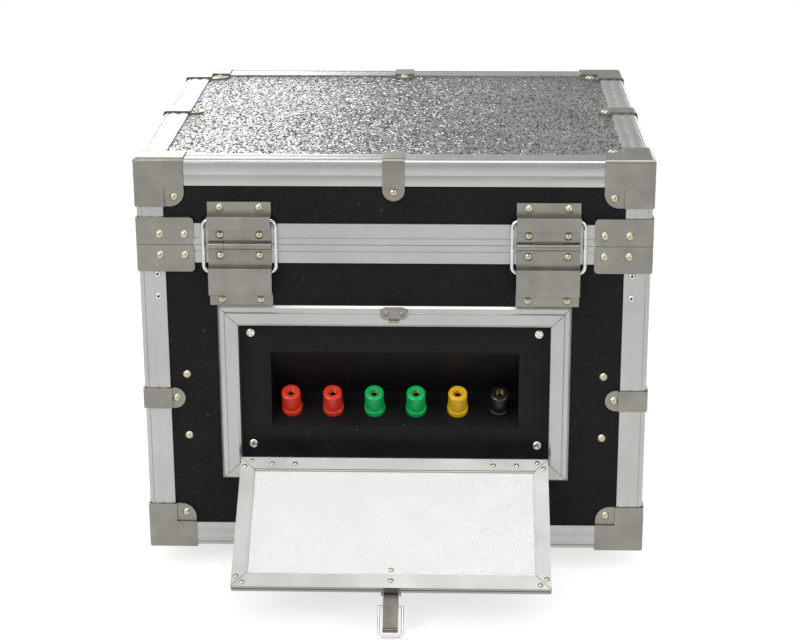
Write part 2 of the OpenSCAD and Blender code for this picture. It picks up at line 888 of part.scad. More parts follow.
// Folded lever that turns on the plate's pin, drawn at rest
module latch_lever() {
    sheet = steel_t;
    top = -lever_pin_r - sheet;
    flange_l = bail_arm + eye_r;
    translate([0, lever_pivot_v, lever_pivot_w]) rotate([lever_turn, 0, 0]) difference() {
        union() {
            translate([-lever_half, -2, top]) cube([2 * lever_half, lever_l + 2, sheet]);
            translate([0, lever_l, -lever_drop]) rod_x(lever_tip_r, 2 * lever_half);
            for (s = [-1, 1])
                translate([s * (lever_half - sheet / 2), 0, 0]) rotate([90, 0, 90])
                    linear_extrude(sheet, center = true) {
                        translate([-2, top]) square([flange_l + 2, -top]);
                        circle(3.2);
                        translate([bail_arm, 0]) circle(eye_r);
                    }
        }
        rod_x(lever_pin_r + fit, latch_w);
        translate([0, bail_arm, 0]) rod_x(bail_d / 2 + fit, latch_w);
    }
}

// Wire bail that hangs in the lever, drawn at rest
module latch_bail(run) {
    r = bail_d / 2;
    len = run - lever_pivot_v + bail_arm;
    inner = lever_half - steel_t - slack;
    translate([0, bail_v, bail_w]) {
        for (s = [-1, 1]) {
            translate([s * (bail_leg_x + inner) / 2, 0, 0]) rod_x(r, bail_leg_x - inner);
            translate([s * bail_leg_x, 0, 0]) sphere(r);
            translate([s * bail_leg_x, 0, 0]) rotate([-90, 0, 0]) cylinder(r = r, h = len - bail_bend);
            translate([s * (bail_leg_x - bail_bend), len - bail_bend, 0]) rotate([0, 0, 45 - 45 * s])
                rotate_extrude(angle = 90) translate([bail_bend, 0]) circle(r);
        }
        translate([0, len, 0]) rod_x(r, 2 * (bail_leg_x - bail_bend));
    }
}

// Lobed plate with a hooked tongue for the bail's cross run, seated on a face at height seat
module latch_keeper(run, seat) {
    hook_v = run - bail_d / 2 - hook_play;
    hook_w = latch_w - 4 * hook_t;
    translate([0, run + keeper_l / 2 - keeper_lap, seat]) linear_extrude(steel_t)
        rounded_rect(keeper_w, keeper_l, keeper_l / 2 - 0.1);
    translate([-hook_w / 2, hook_v - hook_t, seat]) cube([hook_w, hook_t + 4, steel_t]);
    translate([-hook_w / 2, hook_v - hook_t, seat]) cube([hook_w, hook_t, keeper_h - seat - hook_t / 2]);
    translate([0, hook_v - hook_t / 2, keeper_h - hook_t / 2]) rod_x(hook_t / 2, hook_w);
}

module at_door_latch() {
    at_door() translate([0, door_l / 2, 0]) children();
}

module at_front_latch(s) {
    at_case() on_side(2, z_split - rim_base_h - slack)
        translate([s * front_latch_x, 0, -trim_t]) children();
}

module door_latch_plate() {
    color("#98968c") at_door_latch() latch_plate();
}

module door_latch_lever() {
    color("#98968c") at_door_latch() latch_lever();
}

module door_latch_bail() {
    color("#d8d8d6") at_door_latch() latch_bail(door_run_v);
}

module hatch_keeper() {
    color("#98968c") at_hatch() translate([0, door_l / 2, frame_out]) {
        latch_keeper(door_run_v, 0);
        for (s = [-1, 1])
            translate([s * keeper_rivet_x, door_run_v + keeper_l / 2 - keeper_lap, steel_t]) rivet(5, 1.4);
    }
}

module front_latch_plates() {
    color("#98968c") for (s = [-1, 1])
        at_front_latch(s) latch_plate();
}

module front_keepers() {
    color("#98968c") for (s = [-1, 1])
        at_front_latch(s) latch_keeper(front_run_v, trim_t);
}

module front_lever_left() {
    color("#98968c") at_front_latch(1) latch_lever();
}

module front_lever_right() {
    color("#98968c") at_front_latch(-1) latch_lever();
}

module front_bail_left() {
    color("#d8d8d6") at_front_latch(1) latch_bail(front_run_v);
}

module front_bail_right() {
    color("#d8d8d6") at_front_latch(-1) latch_bail(front_run_v);
}

// Terminal bay: x across, y up from the recess's lower edge, z out from the trims' face

shelf_t = 2;
panel_margin = 10;
shelf_rise = recess_d * tan(shelf_angle);

module at_bay() {
    at_case() on_side(0, recess_z) children();
}

// Stands z on the shelf's upper face at post k, square to the shelf
module at_post(k) {
    at_bay() translate([post_first_x + k * post_pitch, post_back * sin(shelf_angle),
        bay_face - post_back * cos(shelf_angle)])
        rotate([shelf_angle - 90, 0, 0]) translate([0, 0, shelf_t / 2]) children();
}

// Recess in section, in by inset from its sheet's middle line and open from depth from
module recess_section(inset, from) {
    roof = (recess_h - shelf_rise) / recess_d;
    low = inset / cos(shelf_angle);
    high = recess_h - inset * sqrt(1 + roof * roof);
    tip = (high - low) / (tan(shelf_angle) + roof);
    polygon([[low + from * tan(shelf_angle), bay_face - from], [low + tip * tan(shelf_angle), bay_face - tip],
        [high - from * roof, bay_face - from]]);
}

module recess_prism(width, inset, from) {
    rotate([90, 0, 90]) linear_extrude(width, center = true) recess_section(inset, from);
}

module terminal_panel() {
    full_w = hatch_w + 2 * panel_margin;
    full_h = hatch_h + 2 * panel_margin;
    color("#101012") difference() {
        at_bay() difference() {
            union() {
                translate([-full_w / 2, -recess_lift - panel_margin, bay_face - panel_t])
                    cube([full_w, full_h, panel_t]);
                recess_prism(recess_w + 2 * shelf_t, -shelf_t / 2, panel_t / 2);
            }
            recess_prism(recess_w, shelf_t / 2, -1);
        }
        for (k = [0:5])
            at_post(k) cylinder(d = socket_d + 2 * fit, h = 4 * shelf_t, center = true);
    }
}

module post_bases() {
    for (k = [0:5])
        color(cap_colors[k]) at_post(k) difference() {
            union() {
                cylinder(d = post_base_d, h = post_base_h - 1);
                translate([0, 0, post_base_h - 1])
                    cylinder(d1 = post_base_d, d2 = post_base_d - 2, h = 1);
            }
            translate([0, 0, -1]) cylinder(d = socket_d + 2 * fit, h = post_base_h + 2);
        }
}

// Brass stems with a plug bore, clamped by a nut under the shelf
module post_sockets() {
    nut_h = 5;
    stem_low = -shelf_t - nut_h - 4;
    stem_top = post_base_h + cap_h - 3.5;
    bore_l = 18;
    color("#c8a24a") for (k = [0:5])
        at_post(k) difference() {
            union() {
                translate([0, 0, stem_low]) cylinder(d = socket_d, h = stem_top - stem_low);
                translate([0, 0, -shelf_t - nut_h]) cylinder(d = 15, h = nut_h, $fn = 6);
            }
            translate([0, 0, stem_top - bore_l]) cylinder(d = socket_bore, h = bore_l + 1);
        }
}

// Straight cap that turns on its stem
module post_cap(k) {
    low = post_base_h + 0.3;
    top = post_base_h + cap_h;
    r = cap_d / 2;
    bore = socket_d / 2 + 0.08;
    color(cap_colors[k]) at_post(k) rotate_extrude()
        polygon([[bore, low], [r - 0.6, low], [r, low + 0.6], [r - 0.2, top - 1.4], [r - 0.6, top - 0.5],
            [r - 1.4, top], [bore + 0.8, top], [bore, top - 1]]);
}

module cap_red_outer() {
    post_cap(0);
}

module cap_red_inner() {
    post_cap(1);
}

module cap_green_left() {
    post_cap(2);
}

module cap_green_right() {
    post_cap(3);
}

module cap_yellow() {
    post_cap(4);
}

module cap_black() {
    post_cap(5);
}

// Side handles: x along the side, y up from the pivots, z out from the panel

handle_z = 215;
pivot_r = 3;
pivot_out = 9;
grip_l = handle_w - 30;

module at_handle(i) {
    at_case() on_side(i, z_under + handle_z) translate([0, 0, -trim_t]) children();
}

// Back plate with two pivot ears
module handle_plate() {
    plate_h = handle_l + grip_d + 16;
    translate([0, 8 - plate_h / 2, 0]) linear_extrude(steel_t)
        rounded_rect(handle_w + 20, plate_h, 8);
    for (s = [-1, 1])
        translate([s * handle_w / 2, 0, 0]) rotate([90, 0, 90]) linear_extrude(4, center = true)
            difference() {
                union() {
                    translate([-6, 0]) square([12, pivot_out]);
                    translate([0, pivot_out]) circle(6);
                }
                translate([0, pivot_out]) circle(pivot_r + fit);
            }
}

module handle_plates() {
    color("#98968c") for (i = [1, 3])
        at_handle(i) handle_plate();
}

// Bent rod with a thick grip, hanging down from its pivots
module handle_bail(i) {
    arm_x = handle_w / 2 - 2 - 1 - pivot_r;
    color("#2a2a2e") at_handle(i) translate([0, 0, pivot_out]) {
        for (s = [-1, 1]) {
            translate([s * (arm_x + 5), 0, 0]) rod_x(pivot_r, 10);
            translate([s * arm_x, 0, 0]) sphere(pivot_r);
            translate([s * arm_x, 0, 0]) rotate([90, 0, 0]) cylinder(r = pivot_r, h = handle_l);
            translate([s * arm_x, -handle_l, 0]) sphere(pivot_r);
        }
        translate([0, -handle_l, 0]) rod_x(pivot_r, 2 * arm_x);
        translate([0, -handle_l, 0]) rod_x(grip_d / 2, grip_l);
    }
}

module handle_left() {
    handle_bail(3);
}

module handle_right() {
    handle_bail(1);
}

// Operator panel under the lid: a tray screwed between the walls

collar_h = 5;
button_travel = 3;
button_gap = 0.3;
start_at = [-150, 60];
stop_at = [-150, 0];
knob_at = [150, 40];
rocker_at = [150, -90];
inlet_at = [-150, -110];
display_at = [0, 60];
rocker_size = [26, 18];
inlet_size = [30, 22];
display_size = [170, 90];

module at_deck(p) {
    at_case() translate([p[0], p[1], z_deck]) children();
}

module operator_panel() {
    color("#3a3b40") difference() {
        union() {
            at_deck([0, 0]) difference() {
                translate([-deck_w / 2, -deck_d / 2, -deck_skirt]) cube([deck_w, deck_d, deck_skirt]);
                translate([-deck_w / 2 + deck_t, -deck_d / 2 + deck_t, -deck_skirt - deck_t])
                    cube([deck_w - 2 * deck_t, deck_d - 2 * deck_t, deck_skirt]);
            }
            for (p = [start_at, stop_at])
                at_deck(p) cylinder(d = button_d + 8, h = collar_h);
            at_deck(rocker_at) linear_extrude(collar_h)
                rounded_rect(rocker_size[0] + 8, rocker_size[1] + 8, 3);
        }
        for (p = [start_at, stop_at])
            at_deck(p) translate([0, 0, -deck_t - 1])
                cylinder(d = button_d + 2 * button_gap, h = collar_h + deck_t + 2);
        at_deck(rocker_at) translate([0, 0, -deck_t - 1]) linear_extrude(collar_h + deck_t + 2)
            square(rocker_size, center = true);
        at_deck(inlet_at) translate([0, 0, -deck_t - 1]) linear_extrude(deck_t + 2)
            square(inlet_size, center = true);
        at_deck(knob_at) translate([0, 0, -deck_t - 1]) cylinder(d = 8, h = deck_t + 2);
    }
}

// Bezel around a sunk screen
module display() {
    color("#1a1c22") at_deck(display_at) difference() {
        linear_extrude(7) rounded_rect(display_size[0], display_size[1], 6);
        translate([0, 0, 4]) linear_extrude(4)
            rounded_rect(display_size[0] - 24, display_size[1] - 24, 3);
    }
}

// Rocker with two slanted faces, on pivots at the deck's level
module power_rocker() {
    w = rocker_size[0] - 2;
    d = rocker_size[1] - 1;
    color("#c02020") at_deck(rocker_at) {
        rotate([90, 0, 0]) linear_extrude(d, center = true)
            polygon([[-w / 2 + 1, -4], [w / 2 - 1, -4], [w / 2 - 0.6, 5.5], [0, 7.5], [0.6 - w / 2, 9]]);
        rotate([90, 0, 0]) cylinder(r = 2, h = rocker_size[1] - 2 * fit, center = true);
    }
}

// Push button with a domed cap, guided by its collar
module push_button() {
    cylinder(d = button_d, h = collar_h + 2 * deck_t, center = true);
    translate([0, 0, collar_h]) cylinder(d = button_d, h = button_travel);
    translate([0, 0, collar_h + button_travel]) cylinder(d1 = button_d, d2 = button_d - 3, h = 1.5);
}

module start_button() {
    color("#20a050") at_deck(start_at) push_button();
}

module stop_button() {
    color("#c02020") at_deck(stop_at) push_button();
}

// Skirted knob on a shaft through the panel
module voltage_knob() {
    grips = 18;
    color("#202024") at_deck(knob_at) {
        difference() {
            union() {
                translate([0, 0, 0.3]) cylinder(d = knob_d, h = 4);
                translate([0, 0, 4]) cylinder(d1 = knob_d - 6, d2 = knob_d - 9, h = 18);
            }
            for (k = [1:grips - 1])
                rotate([0, 0, 90 + k * 360 / grips]) translate([knob_d / 2 - 3, 0, 6])
                    cylinder(r = 1.6, h = 20);
        }
        translate([0, 0, -12]) cylinder(d = 8 - 2 * fit, h = 13);
    }
}

// Mains socket with three blades in an open well
module mains_inlet() {
    flange = 3;
    well = 20;
    wall = 1.5;
    color("#18181a") at_deck(inlet_at) {
        difference() {
            union() {
                linear_extrude(flange) rounded_rect(inlet_size[0] + 20, inlet_size[1] + 6, 4);
                translate([0, 0, -well]) linear_extrude(well + eps)
                    square([inlet_size[0] - 2 * fit, inlet_size[1] - 2 * fit], center = true);
            }
            translate([0, 0, wall - well]) linear_extrude(well + flange)
                square([inlet_size[0] - 2 * wall, inlet_size[1] - 2 * wall], center = true);
        }
        for (p = [[-7, -3], [7, -3], [0, 4]])
            translate([p[0] - 1, p[1] - 2, wall - well]) cube([2, 4, 14]);
    }
}

// Inside pieces on the bottom panel

core = [110, 50, 92];
core_leg = 18;
coil_play = 0.3;
board = [180, 130, 1.6];
standoff_h = 12;

// Laminated core with the winding on its middle leg
module transformer() {
    window = [(core[0] - 4 * core_leg) / 2, core[2] - 2 * core_leg];
    at_case() translate([-110, 40, z_floor]) {
        color("#55565a") translate([0, core[1] / 2, 0]) rotate([90, 0, 0]) linear_extrude(core[1])
            difference() {
                translate([-core[0] / 2, 0]) square([core[0], core[2]]);
                for (s = [-1, 1])
                    translate([s * (core_leg + window[0] / 2) - window[0] / 2, core_leg]) square(window);
            }
        color("#9a5a2a") translate([0, 0, core_leg + coil_play])
            linear_extrude(window[1] - 2 * coil_play) difference() {
                rounded_rect(2 * (core_leg + window[0] - coil_play), core[1] + 2 * window[0], 6);
                square([2 * (core_leg + coil_play), core[1] + 2 * coil_play], center = true);
            }
    }
}

module control_board() {
    color("#1f6b3a") at_case() translate([110, -20, z_floor]) {
        for (sx = [-1, 1], sy = [-1, 1])
            translate([sx * (board[0] / 2 - 8), sy * (board[1] / 2 - 8), 0])
                cylinder(d = 8, h = standoff_h);
        translate([-board[0] / 2, -board[1] / 2, standoff_h]) cube(board);
        for (k = [0:3])
            translate([-60 + 34 * k, -20, standoff_h + board[2] - eps]) cube([22, 34, 9]);
    }
}

bottom_panel();
front_wall();
rear_wall();
side_walls();
base_edge_trims();
base_rim();
base_corners();
base_brackets();
base_rivets();
rubber_feet();
lid_top();
lid_walls();
lid_edge_trims();
lid_rim();
lid_corners();
lid_brackets();
lid_rivets();
hinge_lower_leaves();
hinge_upper_leaves();
hinge_pins();
stay_wire_left();
stay_wire_right();
hatch_frame();
hatch_keeper();
frame_hinge_leaves();
door_hinge_leaves();
door_frame();
door_panel();
door_liner();
door_rivets();
door_latch_plate();
door_latch_lever();
door_latch_bail();
terminal_panel();
post_bases();
post_sockets();
cap_red_outer();
cap_red_inner();
cap_green_left();
cap_green_right();
cap_yellow();
cap_black();
front_latch_plates();
front_lever_left();
front_lever_right();
front_bail_left();
front_bail_right();
front_keepers();
handle_plates();
handle_left();
handle_right();
operator_panel();
display();
power_rocker();
start_button();
stop_button();
voltage_knob();
mains_inlet();
transformer();
control_board();
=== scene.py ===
"""Looks of the insulation tester in its transport case: finishes, fasteners, panel marks, light and camera."""
import json
import math
import bmesh
import bpy
from mathutils import Matrix, Vector


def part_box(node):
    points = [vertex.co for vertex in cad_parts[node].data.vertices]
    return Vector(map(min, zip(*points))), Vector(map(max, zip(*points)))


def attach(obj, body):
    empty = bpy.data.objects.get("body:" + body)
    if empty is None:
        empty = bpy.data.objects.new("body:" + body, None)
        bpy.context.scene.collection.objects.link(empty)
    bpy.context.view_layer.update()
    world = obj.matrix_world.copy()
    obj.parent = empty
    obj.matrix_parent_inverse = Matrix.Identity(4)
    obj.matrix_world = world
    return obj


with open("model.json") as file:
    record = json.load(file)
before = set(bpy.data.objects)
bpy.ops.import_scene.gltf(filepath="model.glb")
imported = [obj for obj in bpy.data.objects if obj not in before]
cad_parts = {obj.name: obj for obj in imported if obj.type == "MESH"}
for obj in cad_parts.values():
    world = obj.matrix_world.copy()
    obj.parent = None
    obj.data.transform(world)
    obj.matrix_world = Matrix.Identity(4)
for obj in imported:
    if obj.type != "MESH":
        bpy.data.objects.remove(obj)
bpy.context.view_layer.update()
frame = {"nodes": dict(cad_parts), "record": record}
scene = bpy.context.scene
mm = 0.001

# Places shared with the solids, in millimetres
REAR_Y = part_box("base_edge_trims")[0].y / mm      # rear face of the edge trims
MID_Y = REAR_Y + 198.5                            # middle of the case
BAY_Y = REAR_Y + 8.5                              # face of the terminal panel
DECK_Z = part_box("operator_panel")[1].z / mm       # top of the operator panel
DOOR_TURN = math.radians(125)                     # how far the hatch hangs open
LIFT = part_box("lid_edge_trims")[1].z / mm - 388.5  # the case stands this far above its measured sizes


# Node helpers

def add(tree, kind, sockets=None, **props):
    """A node with its properties set and its sockets given a value or a link."""
    n = tree.nodes.new(kind)
    for key, value in props.items():
        setattr(n, key, value)
    for key, value in (sockets or {}).items():
        if isinstance(value, bpy.types.NodeSocket):
            tree.links.new(value, n.inputs[key])
        else:
            n.inputs[key].default_value = value
    return n


def math_node(tree, op, a, b=0.0, c=0.0):
    return add(tree, "ShaderNodeMath", {0: a, 1: b, 2: c}, operation=op).outputs[0]


def mix_color(tree, factor, a, b, blend="MIX"):
    n = add(tree, "ShaderNodeMix", {"Factor": factor, 6: a, 7: b}, data_type="RGBA", blend_type=blend)
    return n.outputs[2]


def ramp(tree, value, stops, mode="LINEAR"):
    n = add(tree, "ShaderNodeValToRGB", {0: value})
    n.color_ramp.interpolation = mode
    while len(n.color_ramp.elements) < len(stops):
        n.color_ramp.elements.new(0.5)
    for e, (pos, col) in zip(n.color_ramp.elements, stops):
        e.position = pos
        e.color = (*col, 1.0) if len(col) == 3 else col
    return n.outputs[0]


def shader_group(name, inputs, outputs):
    """An empty shader node group with named sockets; returns the group and its two end nodes."""
    g = bpy.data.node_groups.new(name, "ShaderNodeTree")
    for label, kind, value in inputs:
        s = g.interface.new_socket(label, in_out="INPUT", socket_type=kind)
        if value is not None:
            s.default_value = value
    for label, kind in outputs:
        g.interface.new_socket(label, in_out="OUTPUT", socket_type=kind)
    return g, g.nodes.new("NodeGroupInput"), g.nodes.new("NodeGroupOutput")


FLOAT, VECTOR = "NodeSocketFloat", "NodeSocketVector"


# Shared surface effects

def make_mottle():
    """Soft blotches between two values, for sheen and tint that are never quite even."""
    g, i, o = shader_group("soft_mottle", [("Vector", VECTOR, None), ("Scale", FLOAT, 40.0), ("Low", FLOAT, 0.0),
                                           ("High", FLOAT, 1.0)], [("Value", FLOAT)])
    noise = add(g, "ShaderNodeTexNoise", {"Vector": i.outputs["Vector"], "Scale": i.outputs["Scale"], "Detail": 4.0,
                                          "Roughness": 0.6})
    spread = add(g, "ShaderNodeMapRange", {"Value": noise.outputs["Fac"], "From Min": 0.3, "From Max": 0.7,
                                           "To Min": i.outputs["Low"], "To Max": i.outputs["High"]})
    g.links.new(spread.outputs[0], o.inputs["Value"])
    return g


def make_hairline():
    """Drawn or rolled grain: noise stretched along one axis of the object."""
    g, i, o = shader_group("hairline_grain", [("Vector", VECTOR, None), ("Stretch", VECTOR, None)],
                           [("Value", FLOAT)])
    run = add(g, "ShaderNodeMapping", {"Vector": i.outputs["Vector"], "Scale": i.outputs["Stretch"]})
    noise = add(g, "ShaderNodeTexNoise", {"Vector": run.outputs[0], "Scale": 1.0, "Detail": 3.0})
    g.links.new(noise.outputs["Fac"], o.inputs["Value"])
    return g


def make_scuff():
    """Thin straight scratches in patches, leaning two ways, as a mask."""
    g, i, o = shader_group("stray_scuffs", [("Vector", VECTOR, None), ("Scale", FLOAT, 30.0), ("Amount", FLOAT, 0.3)],
                           [("Mask", FLOAT)])
    total = None
    for lean in (0.5, -0.9):
        run = add(g, "ShaderNodeMapping", {"Vector": i.outputs["Vector"], "Rotation": (lean, lean, lean),
                                           "Scale": (40.0, 1.2, 40.0)})
        lines = add(g, "ShaderNodeTexNoise", {"Vector": run.outputs[0], "Scale": i.outputs["Scale"], "Detail": 1.0})
        thin = add(g, "ShaderNodeMapRange", {"Value": lines.outputs["Fac"], "From Min": 0.68, "From Max": 0.76})
        total = thin.outputs[0] if total is None else math_node(g, "MAXIMUM", total, thin.outputs[0])
    patch = add(g, "ShaderNodeTexNoise", {"Vector": i.outputs["Vector"], "Scale": 14.0, "Detail": 3.0})
    where = add(g, "ShaderNodeMapRange", {"Value": patch.outputs["Fac"], "From Min": 0.45, "From Max": 0.65})
    both = math_node(g, "MULTIPLY", total, where.outputs[0])
    g.links.new(math_node(g, "MULTIPLY", both, i.outputs["Amount"]), o.inputs["Mask"])
    return g


def make_dust():
    """Sparse pale specks, as a mask."""
    g, i, o = shader_group("dust_specks", [("Vector", VECTOR, None), ("Scale", FLOAT, 120.0), ("Amount", FLOAT, 0.5)],
                           [("Mask", FLOAT)])
    cells = add(g, "ShaderNodeTexVoronoi", {"Vector": i.outputs["Vector"], "Scale": i.outputs["Scale"]})
    dot = add(g, "ShaderNodeMapRange", {"Value": cells.outputs["Distance"], "From Min": 0.05, "From Max": 0.16,
                                        "To Min": 1.0, "To Max": 0.0})
    pick = add(g, "ShaderNodeSeparateColor", {0: cells.outputs["Color"]})
    few = math_node(g, "GREATER_THAN", pick.outputs[0], 0.9)
    both = math_node(g, "MULTIPLY", dot.outputs[0], few)
    g.links.new(math_node(g, "MULTIPLY", both, i.outputs["Amount"]), o.inputs["Mask"])
    return g


MOTTLE, HAIRLINE, SCUFF, DUST = make_mottle(), make_hairline(), make_scuff(), make_dust()


def group(tree, kind, **sockets):
    n = tree.nodes.new("ShaderNodeGroup")
    n.node_tree = kind
    for key, value in sockets.items():
        if isinstance(value, bpy.types.NodeSocket):
            tree.links.new(value, n.inputs[key])
        else:
            n.inputs[key].default_value = value
    return n.outputs[0]


# Finishes

def blank(name):
    """A material with a Principled shader, and its Object coordinates."""
    m = bpy.data.materials.new(name)
    m.use_nodes = True
    t = m.node_tree
    t.nodes.clear()
    out = add(t, "ShaderNodeOutputMaterial")
    skin = add(t, "ShaderNodeBsdfPrincipled")
    t.links.new(skin.outputs[0], out.inputs[0])
    return m, t, skin, add(t, "ShaderNodeTexCoord").outputs["Object"]


def set_normal(t, skin, height, distance, strength=1.0):
    b = add(t, "ShaderNodeBump", {"Height": height, "Distance": distance, "Strength": strength})
    t.links.new(b.outputs[0], skin.inputs["Normal"])


def finish(name, tint, shade, rough, metallic=0.0, blotch=30.0, grain=None, grain_depth=0.0, scuff=0.0,
           scuff_tint=(0.8, 0.8, 0.78), dust=0.0, coat=0.0, coat_rough=0.1, ior_level=0.5):
    """A worn, slightly uneven finish: two tints, varied sheen, grain, scratches and dust."""
    m, t, skin, at = blank(name)
    skin.inputs["Metallic"].default_value = metallic
    skin.inputs["Coat Weight"].default_value = coat
    skin.inputs["Coat Roughness"].default_value = coat_rough
    skin.inputs["Specular IOR Level"].default_value = ior_level
    tone = group(t, MOTTLE, Vector=at, Scale=blotch, Low=0.0, High=1.0)
    drawn = group(t, HAIRLINE, Vector=at, Stretch=grain) if grain else None
    if grain:
        tone = math_node(t, "MULTIPLY_ADD", math_node(t, "SUBTRACT", drawn, 0.5), 1.4, tone)
    color = mix_color(t, tone, (*shade, 1), (*tint, 1))
    if scuff:
        color = mix_color(t, group(t, SCUFF, Vector=at, Scale=26.0, Amount=scuff), color, (*scuff_tint, 1))
    if dust:
        color = mix_color(t, group(t, DUST, Vector=at, Scale=110.0, Amount=dust), color, (0.62, 0.6, 0.57, 1))
    t.links.new(color, skin.inputs["Base Color"])
    sheen = group(t, MOTTLE, Vector=at, Scale=blotch * 2.3, Low=rough * 0.8, High=rough * 1.2)
    t.links.new(sheen, skin.inputs["Roughness"])
    if grain:
        set_normal(t, skin, drawn, grain_depth * mm)
    return m


def make_laminate():
    """Matt black laminate with a fine grained press texture on the case walls."""
    m, t, skin, at = blank("panel_black")
    grit = add(t, "ShaderNodeTexNoise", {"Vector": at, "Scale": 520.0, "Detail": 3.0, "Roughness": 0.7})
    pores = add(t, "ShaderNodeTexVoronoi", {"Vector": at, "Scale": 420.0})
    tone = group(t, MOTTLE, Vector=at, Scale=16.0, Low=0.0, High=1.0)
    color = mix_color(t, tone, (0.0040, 0.0038, 0.0042, 1), (0.0068, 0.0064, 0.0068, 1))
    lift = add(t, "ShaderNodeMapRange", {"Value": grit.outputs["Fac"], "From Min": 0.52, "From Max": 0.72})
    color = mix_color(t, lift.outputs[0], color, (0.019, 0.018, 0.019, 1))
    color = mix_color(t, group(t, DUST, Vector=at, Scale=95.0, Amount=0.16), color, (0.3, 0.29, 0.28, 1))
    color = mix_color(t, group(t, SCUFF, Vector=at, Scale=17.0, Amount=0.05), color, (0.2, 0.2, 0.2, 1))
    t.links.new(color, skin.inputs["Base Color"])
    t.links.new(group(t, MOTTLE, Vector=at, Scale=60.0, Low=0.52, High=0.68), skin.inputs["Roughness"])
    skin.inputs["Specular IOR Level"].default_value = 0.16
    set_normal(t, skin, math_node(t, "ADD", grit.outputs["Fac"], pores.outputs["Distance"]), 0.3 * mm)
    return m


def make_pebble():
    """Black laminate of the lid, pressed with small glossy facets that catch the light one by one; the pale grey of
    the facets on its top face is painted glints.
    """
    m, t, skin, at = blank("lid_laminate")
    run = add(t, "ShaderNodeMapping", {"Vector": at, "Scale": (1.0, 0.5, 1.0)})
    facets = add(t, "ShaderNodeTexVoronoi", {"Vector": run.outputs[0], "Scale": 640.0, "Randomness": 1.0})
    fine = add(t, "ShaderNodeTexNoise", {"Vector": at, "Scale": 900.0, "Detail": 2.0})
    pick = add(t, "ShaderNodeSeparateColor", {0: facets.outputs["Color"]})
    tone = group(t, MOTTLE, Vector=at, Scale=9.0, Low=0.5, High=0.9)
    spread = math_node(t, "MULTIPLY", pick.outputs[1], tone)
    # Painted glints: facets picked at random turn pale grey, brighter in broad patches; below the top face the
    # laminate stays black
    color = mix_color(t, spread, (0.03, 0.03, 0.031, 1), (0.5, 0.5, 0.495, 1))
    height = add(t, "ShaderNodeSeparateXYZ", {0: at}).outputs["Z"]
    outside = math_node(t, "GREATER_THAN", height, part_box("lid_top")[1].z - 1.5 * mm)
    color = mix_color(t, outside, (0.012, 0.012, 0.0125, 1), color)
    color = mix_color(t, group(t, DUST, Vector=at, Scale=80.0, Amount=0.2), color, (0.3, 0.3, 0.29, 1))
    t.links.new(color, skin.inputs["Base Color"])
    sheen = add(t, "ShaderNodeMapRange", {"Value": pick.outputs[0], "To Min": 0.08, "To Max": 0.4})
    t.links.new(sheen.outputs[0], skin.inputs["Roughness"])
    skin.inputs["Specular IOR Level"].default_value = 0.8
    t.links.new(math_node(t, "MULTIPLY", outside, 0.6), skin.inputs["Metallic"])
    lean = add(t, "ShaderNodeVectorMath", {0: facets.outputs["Color"], 1: (0.5, 0.5, 0.5)}, operation="SUBTRACT")
    depth = math_node(t, "MULTIPLY_ADD", outside, 0.5, 0.12)
    lean = add(t, "ShaderNodeVectorMath", {0: lean.outputs[0], "Scale": depth}, operation="SCALE")
    face = add(t, "ShaderNodeVectorMath", {0: add(t, "ShaderNodeNewGeometry").outputs["Normal"], 1: lean.outputs[0]},
               operation="ADD")
    face = add(t, "ShaderNodeVectorMath", {0: face.outputs[0]}, operation="NORMALIZE")
    b = add(t, "ShaderNodeBump", {"Height": fine.outputs["Fac"], "Distance": 0.15 * mm, "Normal": face.outputs[0]})
    t.links.new(b.outputs[0], skin.inputs["Normal"])
    return m


def make_liner():
    """Pale aluminium sheet rolled with a fine diamond pattern, on the hatch's inner face; the low lines of the
    pattern are painted shade.
    """
    m, t, skin, at = blank("liner_aluminium")
    flat = add(t, "ShaderNodeMapping", {"Vector": at, "Rotation": (-DOOR_TURN, 0.0, 0.0)})
    xyz = add(t, "ShaderNodeSeparateXYZ", {0: flat.outputs[0]})
    pitch = 2 * math.pi / (3.6 * mm)
    u = math_node(t, "MULTIPLY", xyz.outputs["X"], pitch)
    v = math_node(t, "MULTIPLY", xyz.outputs["Z"], pitch * 1.25)
    a = math_node(t, "SINE", math_node(t, "ADD", u, v))
    b = math_node(t, "SINE", math_node(t, "SUBTRACT", u, v))
    diamond = math_node(t, "MAXIMUM", a, b)
    line = add(t, "ShaderNodeMapRange", {"Value": diamond, "From Min": 0.15, "From Max": 0.95})
    worn = group(t, MOTTLE, Vector=at, Scale=22.0, Low=0.75, High=1.0)
    depth = math_node(t, "MULTIPLY", line.outputs[0], worn)
    # Painted shade: the low lines of the diamond pattern are coloured darker grey, varied in patches by the mottle
    color = mix_color(t, depth, (0.72, 0.72, 0.71, 1), (0.97, 0.97, 0.96, 1))
    color = mix_color(t, group(t, SCUFF, Vector=at, Scale=21.0, Amount=0.06), color, (0.55, 0.55, 0.54, 1))
    t.links.new(color, skin.inputs["Base Color"])
    t.links.new(group(t, MOTTLE, Vector=at, Scale=70.0, Low=0.34, High=0.5), skin.inputs["Roughness"])
    skin.inputs["Metallic"].default_value = 0.15
    set_normal(t, skin, line.outputs[0], 0.3 * mm)
    return m


def make_post_base():
    """Moulded post bases in the colours of the caps above them, chosen by their place along the shelf."""
    m, t, skin, at = blank("post_base")
    x = add(t, "ShaderNodeSeparateXYZ", {0: at}).outputs["X"]
    along = add(t, "ShaderNodeMapRange", {"Value": x, "From Min": -0.12, "From Max": 0.12})
    color = ramp(t, along.outputs[0], [(0.0, RED), (0.3333, GREEN), (0.6667, YELLOW), (0.8333, BLACK)], "CONSTANT")
    color = mix_color(t, group(t, MOTTLE, Vector=at, Scale=90.0, Low=0.0, High=0.12), color, (0.03, 0.03, 0.03, 1))
    t.links.new(color, skin.inputs["Base Color"])
    t.links.new(group(t, MOTTLE, Vector=at, Scale=150.0, Low=0.3, High=0.42), skin.inputs["Roughness"])
    return m


